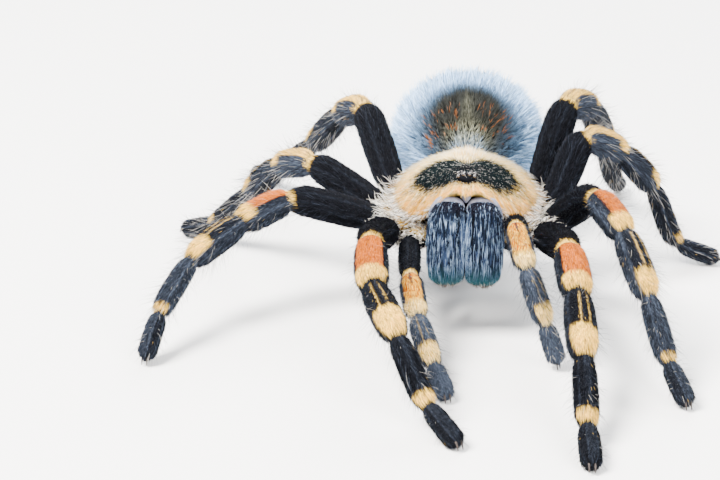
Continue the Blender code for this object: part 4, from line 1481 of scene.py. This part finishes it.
class TARANTULA_OT_jaw_coat(bpy.types.Operator):
    """Comb fine pale streaks down the jaws"""

    bl_idname = "tarantula.jaw_coat"
    bl_label = "Jaw Coat"

    def execute(self, context):
        shades = tones("black", "lavender", "plum", "mist", "teal")
        material = coat_material("jaw_coat", shades, tip=0.0, roughness=0.45, end_mark="teal")
        parts = [self.hairs(side, row) for row, side in enumerate((1, -1))]
        finish_piece(coat_piece("jaw_coat", parts, seed=55), material)
        return {"FINISHED"}

    def hairs(self, side, row):
        """Hairs combed down a jaw, few on its inner side, and never longer than the way to its end."""

        def t_at(u):
            return 0.17 + 0.8 * u

        def form(u, v):
            return jaw_surface(side, t_at(u), v * math.tau, JAW_COAT)

        def keep(u, v):
            return 1 - 0.97 * soft(-np.cos(v * math.tau), 0.86, 0.95)

        count = 9000
        u, v, root, along, normal, chance = planted(form, count, 501 + row, keep, draws=511 + row)
        t = t_at(u)
        marks = jaw_marks(t, v * math.tau)
        light = chance.random(count) < 0.05 + 0.30 * marks["slate"] ** 1.5
        fleck = (t < 0.45) & (chance.random(count) < 0.16)
        lie = strewn(along, normal, 0.16, chance)
        length = (1.2 + 1.3 * chance.random(count)) * MM * soft(t, 0.0, 0.30)
        length = np.minimum(length, (10.5 * (1 - t) + 0.3) * MM)
        length = np.where(fleck, 0.4 * MM, length)
        lift = np.radians(5 + 7 * chance.random(count) + 12 * soft(t, 0.9, 0.97))
        marks["pale"] = np.where(light | fleck, 0.85 * (1 - 0.45 * marks["teal"]), 0.0)
        marks["slate"] = np.clip(marks["slate"] * (0.05 + 1.5 * chance.random(count) ** 1.7), 0, 1)
        marks["teal"] = marks["teal"] * (0.45 + 0.55 * chance.random(count))
        width = np.where(light, 0.066, 0.056) * MM
        tuft = tufts(root, normal, lie, length, width, lift, bend=0.6, rings=2)
        return tuft, on_map(u, 0.5 * row + 0.49 * v), marks


# ---------------------------------------------------------------- stage


FLOOR_TONES = ((0.80, 0.79, 0.78), (0.84, 0.83, 0.82))
SKY = (0.86, 0.92, 1.0, 1.0)
SKY_STRENGTH = 0.6
# Each soft lamp's place from the body's middle, its width, both in metres, its watts and its colour
LAMPS = {
    "key": ((-0.30, -0.12, 0.50), 0.30, 27.0, (1.0, 0.97, 0.93)),
    "fill": ((0.35, -0.45, 0.30), 0.45, 12.0, (1.0, 0.98, 0.96)),
    "back": ((0.12, 0.50, 0.35), 0.35, 9.0, (0.93, 0.97, 1.0)),
}
LENS = 92.5  # millimetres, on a sensor 36 mm wide
CAMERA_DISTANCE = 0.25  # from a point just above the body's middle
CAMERA_RISE = math.radians(19)
CAMERA_YAW = math.radians(-3.489)
CAMERA_PITCH = math.radians(-21.275)


class TARANTULA_OT_stage(bpy.types.Operator):
    """Set out the pale floor, the soft lights and the camera"""

    bl_idname = "tarantula.stage"
    bl_label = "Stage"

    def execute(self, context):
        self.floor(context)
        world = bpy.data.worlds.new("studio")
        world.use_nodes = True
        background = world.node_tree.nodes["Background"]
        background.inputs["Color"].default_value = SKY
        background.inputs["Strength"].default_value = SKY_STRENGTH
        context.scene.world = world
        for name, lamp in LAMPS.items():
            self.light(context, name, *lamp)
        self.camera(context)
        return {"FINISHED"}

    def floor(self, context):
        """A square 6 m wide at height 0."""
        edge = 3.0
        mesh = bpy.data.meshes.new("floor")
        corners = [(-edge, -edge, 0), (edge, -edge, 0), (edge, edge, 0), (-edge, edge, 0)]
        mesh.from_pydata(corners, [], [(0, 1, 2, 3)])
        floor = bpy.data.objects.new("floor", mesh)
        context.scene.collection.objects.link(floor)
        material, shader, place = new_material("floor", {"Roughness": 0.85})
        connect(shader, "Base Color", noise(place, 0.05).blend(*FLOOR_TONES))
        mesh.materials.append(material)

    def light(self, context, name, offset, width, power, colour):
        """A round lamp that faces the body's middle."""
        lamp = bpy.data.lights.new(name, "AREA")
        lamp.shape, lamp.size, lamp.energy, lamp.color = "DISK", width, power, colour
        held = bpy.data.objects.new(name, lamp)
        context.scene.collection.objects.link(held)
        place = BODY + offset
        held.matrix_world = self.looking(place, unit(BODY - place))

    def looking(self, place, way):
        """The matrix of a thing at a place that looks along a way, its upper side up."""
        right = unit(np.cross(way, UP))
        upper = np.cross(right, way)
        matrix = np.eye(4)
        matrix[:3, 0], matrix[:3, 1], matrix[:3, 2], matrix[:3, 3] = right, upper, -way, place
        return Matrix(matrix.tolist())

    def camera(self, context):
        """A long lens in front of the body and above it, looking down."""
        data = bpy.data.cameras.new("camera")
        data.lens, data.sensor_width = LENS, 36.0
        data.clip_start, data.clip_end = 0.01, 20.0
        held = bpy.data.objects.new("camera", data)
        context.scene.collection.objects.link(held)
        back = np.array([0, -math.cos(CAMERA_RISE), math.sin(CAMERA_RISE)])
        place = body_point(0.0, 0.0, 3.3 * MM) + CAMERA_DISTANCE * back
        level = math.cos(CAMERA_PITCH)
        way = np.array([math.sin(CAMERA_YAW) * level, math.cos(CAMERA_YAW) * level, math.sin(CAMERA_PITCH)])
        held.matrix_world = self.looking(place, way)
        context.scene.camera = held


STEPS = (
    TARANTULA_OT_skin,
    TARANTULA_OT_carapace,
    TARANTULA_OT_membrane,
    TARANTULA_OT_eyes,
    TARANTULA_OT_jaws,
    TARANTULA_OT_leg_coat,
    TARANTULA_OT_bristles,
    TARANTULA_OT_abdomen_coat,
    TARANTULA_OT_belly_coat,
    TARANTULA_OT_carapace_coat,
    TARANTULA_OT_fringe,
    TARANTULA_OT_jaw_coat,
    TARANTULA_OT_stage,
)


class TARANTULA_PT_panel(bpy.types.Panel):
    """Lists the model's pieces, sizes and colours"""

    bl_idname = "TARANTULA_PT_panel"
    bl_label = "Tarantula"
    bl_space_type = "VIEW_3D"
    bl_region_type = "UI"
    bl_category = "Tarantula"

    def draw(self, context):
        """A button for each piece, then the sizes and the colours."""
        column = self.layout.column(align=True)
        for step in STEPS:
            column.operator(step.bl_idname)
        for title, group in (
            ("Sizes", context.scene.tarantula_sizes),
            ("Colours", context.scene.tarantula_colours),
        ):
            box = self.layout.box()
            box.label(text=title)
            for key in type(group).__annotations__:
                box.prop(group, key)


CLASSES = (TarantulaColours, TarantulaSizes, *STEPS, TARANTULA_PT_panel)


def register():
    """Makes the operators, the panel and the scene's sizes and colours known."""
    for item in CLASSES:
        bpy.utils.register_class(item)
    bpy.types.Scene.tarantula_colours = bpy.props.PointerProperty(type=TarantulaColours)
    bpy.types.Scene.tarantula_sizes = bpy.props.PointerProperty(type=TarantulaSizes)


def unregister():
    """Takes them away again."""
    del bpy.types.Scene.tarantula_sizes
    del bpy.types.Scene.tarantula_colours
    for item in reversed(CLASSES):
        bpy.utils.unregister_class(item)


def main():
    """Makes the whole model in order."""
    register()
    for step in STEPS:
        area, name = step.bl_idname.split(".")
        getattr(getattr(bpy.ops, area), name)()


if __name__ == "__main__":
    main()
